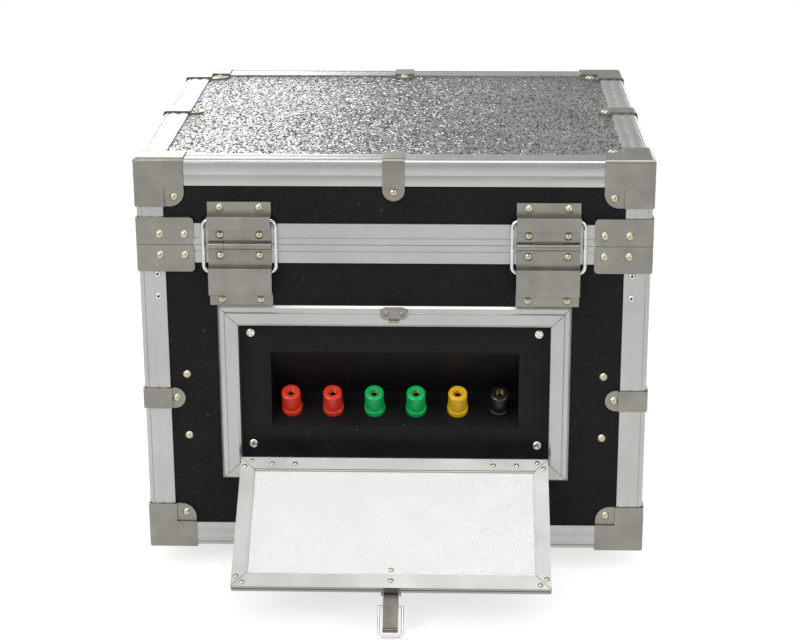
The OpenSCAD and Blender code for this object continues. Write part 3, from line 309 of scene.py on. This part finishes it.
def make_core():
    """Iron laminations in stripes along the height, rusty in patches."""
    m, t, skin, at = blank("core_iron")
    z = add(t, "ShaderNodeSeparateXYZ", {0: at}).outputs["Z"]
    sheets = math_node(t, "SINE", math_node(t, "MULTIPLY", z, 2 * math.pi / (1.2 * mm)))
    layer = add(t, "ShaderNodeMapRange", {"Value": sheets, "From Min": -1.0, "From Max": 1.0})
    rust = group(t, MOTTLE, Vector=at, Scale=45.0, Low=0.0, High=0.5)
    color = mix_color(t, layer.outputs[0], (0.06, 0.058, 0.056, 1), (0.16, 0.155, 0.15, 1))
    color = mix_color(t, rust, color, (0.16, 0.075, 0.03, 1))
    t.links.new(color, skin.inputs["Base Color"])
    t.links.new(group(t, MOTTLE, Vector=at, Scale=80.0, Low=0.4, High=0.6), skin.inputs["Roughness"])
    skin.inputs["Metallic"].default_value = 0.6
    set_normal(t, skin, layer.outputs[0], 0.2 * mm)
    return m


def make_board():
    """Green solder mask with paler tracks on a square raster."""
    m, t, skin, at = blank("board_green")
    raster = add(t, "ShaderNodeTexBrick", {"Vector": at, "Color1": (0.01, 0.11, 0.035, 1),
                                           "Color2": (0.014, 0.15, 0.05, 1), "Mortar": (0.05, 0.27, 0.1, 1),
                                           "Scale": 60.0, "Mortar Size": 0.03}, offset=0.37)
    color = mix_color(t, group(t, DUST, Vector=at, Scale=260.0, Amount=0.9), raster.outputs["Color"],
                      (0.55, 0.5, 0.36, 1))
    t.links.new(color, skin.inputs["Base Color"])
    t.links.new(group(t, MOTTLE, Vector=at, Scale=70.0, Low=0.28, High=0.42), skin.inputs["Roughness"])
    return m


RED, GREEN = (0.86, 0.045, 0.015), (0.0, 0.52, 0.125)
YELLOW, BLACK = (0.9, 0.53, 0.008), (0.007, 0.007, 0.008)

FINISHES = {
    "panel_black": make_laminate(),
    "lid_laminate": make_pebble(),
    "trim_aluminium": finish("trim_aluminium", (0.48, 0.48, 0.465), (0.42, 0.42, 0.405), 0.3, 0.85, 9.0),
    "fitting_steel": finish("fitting_steel", (0.305, 0.298, 0.265), (0.235, 0.229, 0.2), 0.33, 0.85, 26.0,
                            (60.0, 60.0, 45.0), 0.03, scuff=0.12, scuff_tint=(0.5, 0.49, 0.45)),
    "wire_zinc": finish("wire_zinc", (0.72, 0.72, 0.71), (0.56, 0.56, 0.55), 0.18, 1.0, 90.0, scuff=0.15),
    "rivet_steel": finish("rivet_steel", (0.6, 0.555, 0.42), (0.44, 0.4, 0.28), 0.27, 0.9, 160.0, scuff=0.2),
    "foot_rubber": finish("foot_rubber", (0.022, 0.022, 0.023), (0.012, 0.012, 0.013), 0.72, 0.0, 60.0,
                          (420.0, 420.0, 420.0), 0.15, dust=0.7),
    "liner_aluminium": make_liner(),
    "bay_plastic": finish("bay_plastic", (0.0105, 0.0098, 0.0103), (0.008, 0.0074, 0.0079), 0.42, 0.0, 20.0,
                          (520.0, 520.0, 520.0), 0.03, scuff=0.1, scuff_tint=(0.2, 0.2, 0.2), dust=0.08, coat=0.06,
                          coat_rough=0.14, ior_level=0.1),
    "cap_red": finish("cap_red", RED, (0.75, 0.032, 0.012), 0.34, 0.0, 120.0, coat=0.2, coat_rough=0.2),
    "cap_green": finish("cap_green", GREEN, (0.0, 0.44, 0.1), 0.34, 0.0, 120.0, coat=0.2, coat_rough=0.2),
    "cap_yellow": finish("cap_yellow", YELLOW, (0.8, 0.45, 0.006), 0.34, 0.0, 120.0, coat=0.2, coat_rough=0.2),
    "cap_black": finish("cap_black", BLACK, (0.005, 0.005, 0.006), 0.3, 0.0, 120.0, coat=0.2, coat_rough=0.2),
    "post_base": make_post_base(),
    "socket_brass": finish("socket_brass", (0.76, 0.53, 0.2), (0.62, 0.4, 0.13), 0.24, 1.0, 220.0, scuff=0.3,
                           scuff_tint=(0.85, 0.7, 0.4)),
    "grip_black": finish("grip_black", (0.018, 0.018, 0.019), (0.01, 0.01, 0.011), 0.6, 0.0, 50.0,
                         (380.0, 380.0, 380.0), 0.2, scuff=0.15, scuff_tint=(0.15, 0.15, 0.15), dust=0.3),
    "deck_grey": finish("deck_grey", (0.075, 0.077, 0.083), (0.055, 0.057, 0.062), 0.5, 0.0, 24.0,
                        (650.0, 650.0, 650.0), 0.12, scuff=0.12, scuff_tint=(0.25, 0.25, 0.25), dust=0.2),
    "screen_black": finish("screen_black", (0.008, 0.009, 0.011), (0.005, 0.006, 0.007), 0.14, 0.0, 20.0, scuff=0.1,
                           scuff_tint=(0.12, 0.12, 0.12), coat=0.6, coat_rough=0.05),
    "button_green": finish("button_green", (0.012, 0.3, 0.075), (0.008, 0.23, 0.055), 0.36, 0.0, 90.0, coat=0.2),
    "button_red": finish("button_red", (0.56, 0.016, 0.012), (0.44, 0.01, 0.008), 0.36, 0.0, 90.0, coat=0.2),
    "knob_black": finish("knob_black", (0.02, 0.02, 0.021), (0.011, 0.011, 0.012), 0.46, 0.0, 80.0,
                         (900.0, 900.0, 900.0), 0.05, dust=0.2),
    "core_iron": make_core(),
    "board_green": make_board(),
}
# Darker copies of the trim aluminium and the fitting steel for the hanging hatch's frame and latch: painted shade on
# these low parts
SHADED_DOOR_BAR = finish("door_bar_shaded_aluminium", (0.355, 0.355, 0.34), (0.3, 0.3, 0.288), 0.34, 0.8, 9.0, scuff=0.03,
                  scuff_tint=(0.6, 0.6, 0.59))
SHADED_LATCH_STEEL = finish("latch_shaded_steel", (0.2, 0.195, 0.17), (0.135, 0.13, 0.112), 0.3, 0.9, 60.0,
                     (60.0, 60.0, 45.0), 0.03, scuff=0.12, scuff_tint=(0.45, 0.44, 0.4))
SHADED_FINISH_COPIES = {"door_frame": SHADED_DOOR_BAR, "door_latch_plate": SHADED_LATCH_STEEL, "door_latch_lever": SHADED_LATCH_STEEL}
SCREW = finish("screw_bright", (0.8, 0.79, 0.75), (0.62, 0.61, 0.57), 0.22, 1.0, 240.0, scuff=0.4)
PRINT_WHITE = finish("print_white", (0.78, 0.78, 0.76), (0.66, 0.66, 0.64), 0.5, 0.0, 300.0, dust=0.2)
UNLIT_RED = finish("bar_unlit", (0.022, 0.008, 0.008), (0.015, 0.006, 0.006), 0.4, 0.0, 300.0)


def make_glow():
    """Lit bars of the readout, their red a little uneven."""
    m, t, skin, at = blank("bar_lit")
    tone = group(t, MOTTLE, Vector=at, Scale=400.0, Low=0.0, High=1.0)
    color = mix_color(t, tone, (0.55, 0.01, 0.006, 1), (0.85, 0.03, 0.015, 1))
    t.links.new(color, skin.inputs["Base Color"])
    t.links.new(color, skin.inputs["Emission Color"])
    skin.inputs["Emission Strength"].default_value = 0.9
    skin.inputs["Roughness"].default_value = 0.4
    return m


GLOW_RED = make_glow()
# Near-black finish for the discs in the rivet holes: painted shade
PAINTED_HOLE_SHADE = finish("rivet_hole_shade", (0.012, 0.012, 0.012), (0.006, 0.006, 0.006), 0.7, 0.0, 200.0)

for part in frame["record"]["subparts"]:
    mesh = frame["nodes"][part["node"]].data
    mesh.materials.clear()
    mesh.materials.append(SHADED_FINISH_COPIES.get(part["node"], FINISHES[part["material_slot"]]))


# Mesh helpers

def make_object(name, mesh, *materials):
    """A mesh object in the scene, at the origin."""
    o = bpy.data.objects.new(name, mesh)
    scene.collection.objects.link(o)
    for m in materials:
        mesh.materials.append(m)
    return o


def baked(o):
    """The object's shape with its modifiers applied, as a plain mesh; the modifiers are removed."""
    bpy.context.view_layer.update()
    mesh = bpy.data.meshes.new_from_object(o.evaluated_get(bpy.context.evaluated_depsgraph_get()))
    o.modifiers.clear()
    o.data = mesh
    return o


def turned(name, profile, sides):
    """A round piece from (radius, height) pairs in millimetres, closed at both ends."""
    bm = bmesh.new()
    rings = []
    for r, z in profile:
        if r == 0:
            rings.append([bm.verts.new((0, 0, z * mm))])
            continue
        angles = [2 * math.pi * k / sides for k in range(sides)]
        rings.append([bm.verts.new((r * mm * math.cos(a), r * mm * math.sin(a), z * mm)) for a in angles])
    for low, high in zip(rings, rings[1:]):
        for k in range(sides):
            a, b = k % len(low), (k + 1) % len(low)
            c, d = (k + 1) % len(high), k % len(high)
            corners = [low[a], low[b], high[c], high[d]]
            bm.faces.new(list(dict.fromkeys(corners)))
    bmesh.ops.remove_doubles(bm, verts=bm.verts, dist=1e-7)
    bmesh.ops.recalc_face_normals(bm, faces=bm.faces)
    for f in bm.faces:
        f.smooth = True
    mesh = bpy.data.meshes.new(name)
    bm.to_mesh(mesh)
    bm.free()
    mesh.set_sharp_from_angle(angle=math.radians(40))
    return make_object(name, mesh)


def carved(o, *boxes):
    """Cuts boxes (size, centre, turn about z) out of an object."""
    bm = bmesh.new()
    for size, centre, turn in boxes:
        place = Matrix.Translation(Vector(centre) * mm) @ Matrix.Rotation(turn, 4, "Z")
        bmesh.ops.create_cube(bm, size=1.0, matrix=place @ Matrix.Diagonal((*(Vector(size) * mm), 1.0)))
    mesh = bpy.data.meshes.new("cutter")
    bm.to_mesh(mesh)
    bm.free()
    cutter = make_object("cutter", mesh)
    m = o.modifiers.new("slot", "BOOLEAN")
    m.object, m.solver, m.use_self = cutter, "EXACT", True
    baked(o)
    bpy.data.objects.remove(cutter)
    return o


# Repeats: one head set on many points, each turned at random about its own axis

def make_fastener_field():
    g = bpy.data.node_groups.new("fastener_field", "GeometryNodeTree")
    for label, kind in (("Geometry", "NodeSocketGeometry"), ("Head", "NodeSocketObject"),
                        ("Turn", "NodeSocketFloat"), ("Seed", "NodeSocketInt"), ("Finish", "NodeSocketMaterial")):
        g.interface.new_socket(label, in_out="INPUT", socket_type=kind)
    g.interface.new_socket("Geometry", in_out="OUTPUT", socket_type="NodeSocketGeometry")
    i, o = g.nodes.new("NodeGroupInput"), g.nodes.new("NodeGroupOutput")
    head = add(g, "GeometryNodeObjectInfo", {"Object": i.outputs["Head"]})
    out = add(g, "GeometryNodeInputNamedAttribute", {"Name": "out"}, data_type="FLOAT_VECTOR")
    aim = add(g, "FunctionNodeAlignRotationToVector", {"Vector": out.outputs[0]}, axis="Z")
    spin = add(g, "FunctionNodeRandomValue", {3: i.outputs["Turn"], "Seed": i.outputs["Seed"]}, data_type="FLOAT")
    about = add(g, "FunctionNodeAxisAngleToRotation", {"Angle": spin.outputs[1]})
    turn = add(g, "FunctionNodeRotateRotation", {0: aim.outputs[0], 1: about.outputs[0]}, rotation_space="LOCAL")
    many = add(g, "GeometryNodeInstanceOnPoints", {"Points": i.outputs["Geometry"],
                                                   "Instance": head.outputs["Geometry"],
                                                   "Rotation": turn.outputs[0]})
    real = add(g, "GeometryNodeRealizeInstances", {0: many.outputs[0]})
    done = add(g, "GeometryNodeSetMaterial", {"Geometry": real.outputs[0], "Material": i.outputs["Finish"]})
    g.links.new(done.outputs[0], o.inputs[0])
    return g


FIELD = make_fastener_field()


def set_input(mod, tree, label, value):
    """Sets a modifier's input by its socket's identifier."""
    for item in tree.interface.items_tree:
        if item.item_type == "SOCKET" and item.in_out == "INPUT" and item.name == label:
            mod[item.identifier] = value


def fasteners(name, body, head, spots, material, turn=2 * math.pi, seed=1):
    """Heads at spots [(point in mm, outward direction)], as one mesh that rides on a body."""
    mesh = bpy.data.meshes.new(name)
    mesh.from_pydata([Vector(p) * mm for p, _ in spots], [], [])
    mesh.attributes.new("out", "FLOAT_VECTOR", "POINT").data.foreach_set(
        "vector", [c for _, d in spots for c in Vector(d).normalized()])
    o = make_object(name, mesh)
    mod = o.modifiers.new("field", "NODES")
    mod.node_group = FIELD
    set_input(mod, FIELD, "Head", head)
    set_input(mod, FIELD, "Turn", turn)
    set_input(mod, FIELD, "Seed", seed)
    set_input(mod, FIELD, "Finish", material)
    baked(o)
    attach(o, body)
    return o


def cross_screw_head(name, d, h):
    """Pan head with a cross recess."""
    r = d / 2
    head = turned(name, [(0, 0), (r * 0.96, 0), (r, 0.25 * h), (r * 0.97, 0.55 * h), (r * 0.82, 0.82 * h),
                         (r * 0.55, 0.96 * h), (0, h)], 28)
    w, l = 0.17 * d, 0.62 * d
    return carved(head, ((w, l, h), (0, 0, 0.9 * h), 0.0), ((l, w, h), (0, 0, 0.9 * h), 0.0))


def hollow_rivet_head(name, d, h):
    """Low domed head with a sunk hole where its pin broke off."""
    r = d / 2
    return turned(name, [(0, 0), (r, 0), (r * 0.98, 0.3 * h), (r * 0.8, 0.75 * h), (r * 0.55, h), (r * 0.42, h),
                         (r * 0.38, 0.9 * h), (r * 0.36, 0.25 * h), (0, 0.2 * h)], 24)


REAR, UP = (0, -1, 0), (0, 0, 1)                   # outward directions of the rear face and the panel
bay_screw = cross_screw_head("bay_screw_head", 9.0, 2.4)
fasteners("bay_screws", "base", bay_screw,
          [((s * 136.5, BAY_Y, z + LIFT), REAR) for s in (-1, 1) for z in (104.2, 217.5)], SCREW, seed=4)
trim_rivet = hollow_rivet_head("trim_rivet_head", 6.4, 1.3)
TRIM_SPOTS = [((s * 221, REAR_Y + 0.2, z + LIFT), REAR) for s in (-1, 1) for z in (256, 278)]
fasteners("trim_rivets", "base", trim_rivet, TRIM_SPOTS, FINISHES["wire_zinc"], seed=2)
# Dark discs sunk in the hollow rivet heads, as painted shade in their holes
rivet_core = turned("rivet_core", [(0, 0.5), (1.15, 0.5), (1.15, 0.95), (0, 0.95)], 16)
fasteners("trim_rivet_holes", "base", rivet_core, TRIM_SPOTS, PAINTED_HOLE_SHADE, seed=2)
for source in (bay_screw, trim_rivet, rivet_core):
    bpy.data.objects.remove(source)


# Operator panel: read from the front, so its marks are turned half round

def deck(x, y):
    """A place on the operator panel, in millimetres from its middle."""
    return Vector((x, MID_Y + y))


def raised(name, body, material, outlines, top, thick):
    """Flat marks of a given thickness on a level face, from outlines in millimetres."""
    bm = bmesh.new()
    for outline in outlines:
        bm.faces.new([bm.verts.new(Vector((p[0], p[1], top)) * mm) for p in outline])
    bmesh.ops.remove_doubles(bm, verts=bm.verts, dist=1e-7)
    high = bmesh.ops.extrude_face_region(bm, geom=bm.faces[:], use_keep_orig=True)["geom"]
    bmesh.ops.translate(bm, vec=(0, 0, thick * mm), verts=[v for v in high if isinstance(v, bmesh.types.BMVert)])
    bmesh.ops.recalc_face_normals(bm, faces=bm.faces)
    mesh = bpy.data.meshes.new(name)
    bm.to_mesh(mesh)
    bm.free()
    o = make_object(name, mesh, material)
    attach(o, body)
    return o


SEGMENTS = {"0": "abcdef", "1": "bc", "2": "abged", "3": "abgcd", "4": "fgbc", "5": "afgcd", "6": "afgedc",
            "7": "abc", "8": "abcdefg", "9": "abcdfg"}


def digit_bars(at, w, h, bar):
    """The seven bars of a numeral, by letter, as outlines around its middle."""
    def lying(v):
        e = w / 2 - bar * 0.6
        return [(-e, v), (-e + bar / 2, v + bar / 2), (e - bar / 2, v + bar / 2), (e, v), (e - bar / 2, v - bar / 2),
                (-e + bar / 2, v - bar / 2)]

    def standing(u, v):
        e = h / 4 - bar * 0.1
        return [(u, v - e), (u + bar / 2, v - e + bar / 2), (u + bar / 2, v + e - bar / 2), (u, v + e),
                (u - bar / 2, v + e - bar / 2), (u - bar / 2, v - e + bar / 2)]
    bars = {"a": lying(h / 2), "g": lying(0), "d": lying(-h / 2), "f": standing(-w / 2, h / 4),
            "b": standing(w / 2, h / 4), "e": standing(-w / 2, -h / 4), "c": standing(w / 2, -h / 4)}
    return {k: [(at[0] - u, at[1] - v) for u, v in pts] for k, pts in bars.items()}


def readout(rows):
    """Numerals on the sunk screen: lit bars and the faint unlit ones."""
    lit, unlit, middle = [], [], deck(0, 60)
    for row, text in enumerate(rows):
        for k, mark in enumerate(text):
            at = (middle.x + 42 - 28 * k, middle.y - 15 + 30 * row)
            for key, outline in digit_bars(at, 12, 20, 2.6).items():
                (lit if key in SEGMENTS[mark] else unlit).append(outline)
        dot = (middle.x + 28 - 28 * row, middle.y - 15 + 30 * row + 10)
        lit.append([(dot[0] + 1.3 * math.cos(a), dot[1] + 1.3 * math.sin(a)) for a in
                    [2 * math.pi * q / 12 for q in range(12)]])
    raised("readout_lit", "base", GLOW_RED, lit, DECK_TOP + 4, 0.25)
    raised("readout_unlit", "base", UNLIT_RED, unlit, DECK_TOP + 4, 0.2)


def dial(centre, start, sweep, steps):
    """Tick marks and numbers round the voltage knob."""
    ticks = []
    for k in range(2 * steps + 1):
        a = math.radians(start + sweep * k / (2 * steps))
        out, side = Vector((math.cos(a), math.sin(a))), Vector((-math.sin(a), math.cos(a)))
        near, far, half = 22.5, (28 if k % 2 == 0 else 25.5), (0.5 if k % 2 == 0 else 0.3)
        corners = ((near, -half), (far, -half), (far, half), (near, half))
        ticks.append([centre + out * r + side * s for r, s in corners])
    raised("dial_ticks", "base", PRINT_WHITE, ticks, DECK_TOP, 0.12)
    bm = bmesh.new()
    for k in range(0, steps + 1, 2):
        a = math.radians(start + sweep * k / steps)
        font = bpy.data.curves.new("number", "FONT")
        font.body, font.size, font.extrude = str(k), 7 * mm, 0.06 * mm
        font.align_x, font.align_y = "CENTER", "CENTER"
        source = bpy.data.objects.new("number", font)
        scene.collection.objects.link(source)
        bpy.context.view_layer.update()
        mesh = bpy.data.meshes.new_from_object(source.evaluated_get(bpy.context.evaluated_depsgraph_get()))
        spot = centre + Vector((math.cos(a), math.sin(a))) * 34
        mesh.transform(Matrix.Translation(Vector((spot.x, spot.y, DECK_TOP + 0.06)) * mm) @
                       Matrix.Rotation(math.pi, 4, "Z"))
        bm.from_mesh(mesh)
        bpy.data.objects.remove(source)
    bmesh.ops.remove_doubles(bm, verts=bm.verts, dist=1e-7)
    mesh = bpy.data.meshes.new("dial_numbers")
    bm.to_mesh(mesh)
    bm.free()
    o = make_object("dial_numbers", mesh)
    mesh.materials.clear()
    mesh.materials.append(PRINT_WHITE)
    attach(o, "base")


def rocker_marks(centre):
    """A bar and a ring on the two slopes of the power rocker."""
    ring = [(2.6 * math.cos(a), 2.6 * math.sin(a)) for a in [2 * math.pi * q / 24 for q in range(24)]]
    hole = [(0.66 * x, 0.66 * y) for x, y in ring]
    quads = [[ring[k], ring[(k + 1) % 24], hole[(k + 1) % 24], hole[k]] for k in range(24)]
    bar = [[(-0.5, -2.8), (0.5, -2.8), (0.5, 2.8), (-0.5, 2.8)]]
    for name, marks, x, z, lean in (("rocker_bar", bar, -6.0, 8.30, math.atan2(1.5, 11.4)),
                                    ("rocker_ring", quads, 6.0, 6.47, math.atan2(2.0, 11.4))):
        o = raised(name, "power_rocker", PRINT_WHITE, marks, 0.0, 0.15)
        o.data.transform(Matrix.Translation(Vector((centre.x + x, centre.y, DECK_TOP + z)) * mm) @
                         Matrix.Rotation(lean, 4, "Y"))


def face_of(node, axis, sign, pick):
    """Outermost place along an axis of the chosen points of a node, in millimetres."""
    return max(sign * v.co[axis] for v in frame["nodes"][node].data.vertices if pick(v.co / mm)) * sign / mm


DECK_TOP = DECK_Z - 5                              # the button collars stand 5 mm above the panel
KNOB, KNOB_H = deck(150, 40), 22                   # middle and height of the voltage knob
ROCKER, INLET = deck(150, -90), deck(-150, -110)   # middles of the power rocker and the mains inlet
INLET_T = 3                                        # thickness of the inlet's flange
readout(("0000", "0000"))
dial(KNOB, 90, -300, 10)
raised("knob_pointer", "voltage_knob", PRINT_WHITE,
       [[(KNOB.x + x, KNOB.y + y) for x, y in ((-0.8, 3), (0.8, 3), (0.8, 13), (-0.8, 13))]],
       DECK_TOP + KNOB_H, 0.2)
rocker_marks(ROCKER)
deck_screw = cross_screw_head("deck_screw_head", 7.0, 1.9)
fasteners("deck_screws", "base", deck_screw,
          [((*deck(x, y), DECK_TOP), UP) for x in (-219, 0, 219) for y in (-179, 179)] +
          [((*deck(x, 0), DECK_TOP), UP) for x in (-219, 219)], SCREW, seed=7)
inlet_screw = cross_screw_head("inlet_screw_head", 5.6, 1.5)
fasteners("inlet_screws", "base", inlet_screw,
          [((INLET.x + s * 20, INLET.y, DECK_TOP + INLET_T), UP) for s in (-1, 1)], SCREW, seed=9)
bezel = turned("bezel_ring", [(15.05, 0), (17.5, 0), (17.5, 1.2), (16.6, 2.2), (15.05, 2.2), (15.05, 0)], 48)
fasteners("button_bezels", "base", bezel, [((*deck(-150, y), DECK_TOP), UP) for y in (0, 60)],
          FINISHES["wire_zinc"], turn=0.0)
plate_low, plate_high = (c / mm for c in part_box("handle_plates"))
plate_mid = (plate_low + plate_high) / 2
plate_rivet = turned("plate_rivet_head", [(0, 0), (3.6, 0), (3.55, 0.35), (3.0, 1.0), (2.0, 1.5), (0.9, 1.75),
                                          (0, 1.8)], 24)
fasteners("handle_rivets", "base", plate_rivet,
          [((face_of("handle_plates", 0, s, lambda p: p.x * s > 0 and abs(p.y - plate_mid.y) > 62),
             plate_mid.y + t * 58, plate_mid.z + u * 31), (s, 0, 0))
           for s in (-1, 1) for t in (-1, 1) for u in (-1, 1)],
          FINISHES["rivet_steel"], seed=5)
for source in (deck_screw, inlet_screw, bezel, plate_rivet):
    bpy.data.objects.remove(source)


# Stage: white floor and background, soft light

def make_floor():
    """White floor that keeps the shadow near the object and fades to plain white further out."""
    bpy.ops.mesh.primitive_plane_add(size=24.0, location=(0, 0, 0))
    floor = bpy.context.object
    floor.name = "studio_floor"
    m, t, skin, at = blank("floor_white")
    skin.inputs["Base Color"].default_value = (0.46, 0.46, 0.46, 1)
    skin.inputs["Roughness"].default_value = 0.9
    skin.inputs["Specular IOR Level"].default_value = 0.0
    path = add(t, "ShaderNodeLightPath")
    seen = math_node(t, "MAXIMUM", path.outputs["Is Camera Ray"], path.outputs["Is Glossy Ray"])
    seen = math_node(t, "MAXIMUM", seen, path.outputs["Is Transmission Ray"])
    glow = add(t, "ShaderNodeEmission", {"Color": (1, 1, 1, 1), "Strength": 0.72})
    near = add(t, "ShaderNodeAddShader", {0: skin.outputs[0], 1: glow.outputs[0]})
    reach = add(t, "ShaderNodeVectorMath", {0: at}, operation="LENGTH").outputs["Value"]
    fade = add(t, "ShaderNodeMapRange", {"Value": reach, "From Min": 0.75, "From Max": 1.5},
               interpolation_type="SMOOTHSTEP")
    far = add(t, "ShaderNodeEmission", {"Color": (1, 1, 1, 1), "Strength": 1.0})
    lit = add(t, "ShaderNodeMixShader", {0: fade.outputs[0], 1: near.outputs[0], 2: far.outputs[0]})
    pick = add(t, "ShaderNodeMixShader", {0: seen, 1: skin.outputs[0], 2: lit.outputs[0]})
    out = next(n for n in t.nodes if n.type == "OUTPUT_MATERIAL")
    t.links.new(pick.outputs[0], out.inputs[0])
    floor.data.materials.append(m)


def make_world():
    """White background to the camera; mirrored in metal it is brighter on the left than on the right."""
    w = bpy.data.worlds.new("studio_white")
    scene.world = w
    w.use_nodes = True
    t = w.node_tree
    t.nodes.clear()
    path = add(t, "ShaderNodeLightPath")
    seen = math_node(t, "MAXIMUM", path.outputs["Is Camera Ray"], path.outputs["Is Transmission Ray"])
    ambient = add(t, "ShaderNodeBackground", {"Color": (1, 1, 1, 1), "Strength": 0.45})
    away = add(t, "ShaderNodeSeparateXYZ", {0: add(t, "ShaderNodeTexCoord").outputs["Generated"]})
    side = add(t, "ShaderNodeMapRange", {"Value": away.outputs["X"], "From Min": -0.25, "From Max": 0.2,
                                         "To Min": 0.9, "To Max": 0.35})
    mirrored = add(t, "ShaderNodeBackground", {"Color": (1, 1, 1, 1), "Strength": side.outputs[0]})
    white = add(t, "ShaderNodeBackground", {"Color": (1, 1, 1, 1), "Strength": 1.0})
    first = add(t, "ShaderNodeMixShader", {0: path.outputs["Is Glossy Ray"], 1: ambient.outputs[0],
                                           2: mirrored.outputs[0]})
    second = add(t, "ShaderNodeMixShader", {0: seen, 1: first.outputs[0], 2: white.outputs[0]})
    out = add(t, "ShaderNodeOutputWorld")
    t.links.new(second.outputs[0], out.inputs[0])


def soft_light(name, place, target, size, power):
    """A rectangular lamp in metres and watts, facing a point."""
    lamp = bpy.data.lights.new(name, "AREA")
    lamp.shape, lamp.size, lamp.size_y, lamp.energy = "RECTANGLE", size[0], size[1], power
    o = bpy.data.objects.new(name, lamp)
    o.location = place
    o.rotation_euler = (Vector(target) - Vector(place)).to_track_quat("-Z", "Y").to_euler()
    scene.collection.objects.link(o)
    return o


def make_camera():
    """The photograph's view: 17 degrees down, a little to the right of the middle."""
    pitch, yaw, roll = math.radians(17.14), math.radians(-1.82), math.radians(-0.24)
    ahead = Vector((math.sin(yaw) * math.cos(pitch), math.cos(yaw) * math.cos(pitch), -math.sin(pitch)))
    right = Vector((math.cos(yaw), -math.sin(yaw), 0))
    up = right.cross(ahead)
    x = math.cos(roll) * right + math.sin(roll) * up
    y = -math.sin(roll) * right + math.cos(roll) * up
    cam = bpy.data.cameras.new("camera")
    cam.sensor_width, cam.lens, cam.shift_y = 36.0, 83.61, -0.1
    cam.clip_start, cam.clip_end = 0.05, 50
    o = bpy.data.objects.new("camera", cam)
    o.matrix_world = Matrix.Translation(Vector((58, REAR_Y - 1642, 819 + LIFT)) * mm) @ \
        Matrix((x, y, -ahead)).transposed().to_4x4()
    scene.collection.objects.link(o)
    scene.camera = o


make_floor()
make_world()
soft_light("key_left", (-1.5, -1.9, 2.0), (0, 0, 0.25), (1.4, 1.4), 30)
soft_light("fill_right", (1.8, -1.7, 1.3), (0, 0, 0.2), (1.4, 1.4), 13)
soft_light("overhead", (0.3, -0.5, 2.3), (0, 0, 0.4), (1.6, 1.4), 18)
soft_light("back_left_card", (-1.3, 2.3, 1.2), (0, 0, 0.4), (2.4, 1.4), 30)
soft_light("back_right_card", (1.5, 2.3, 1.2), (0, 0, 0.4), (1.5, 1.4), 18)
make_camera()
scene.view_settings.view_transform = "Standard"
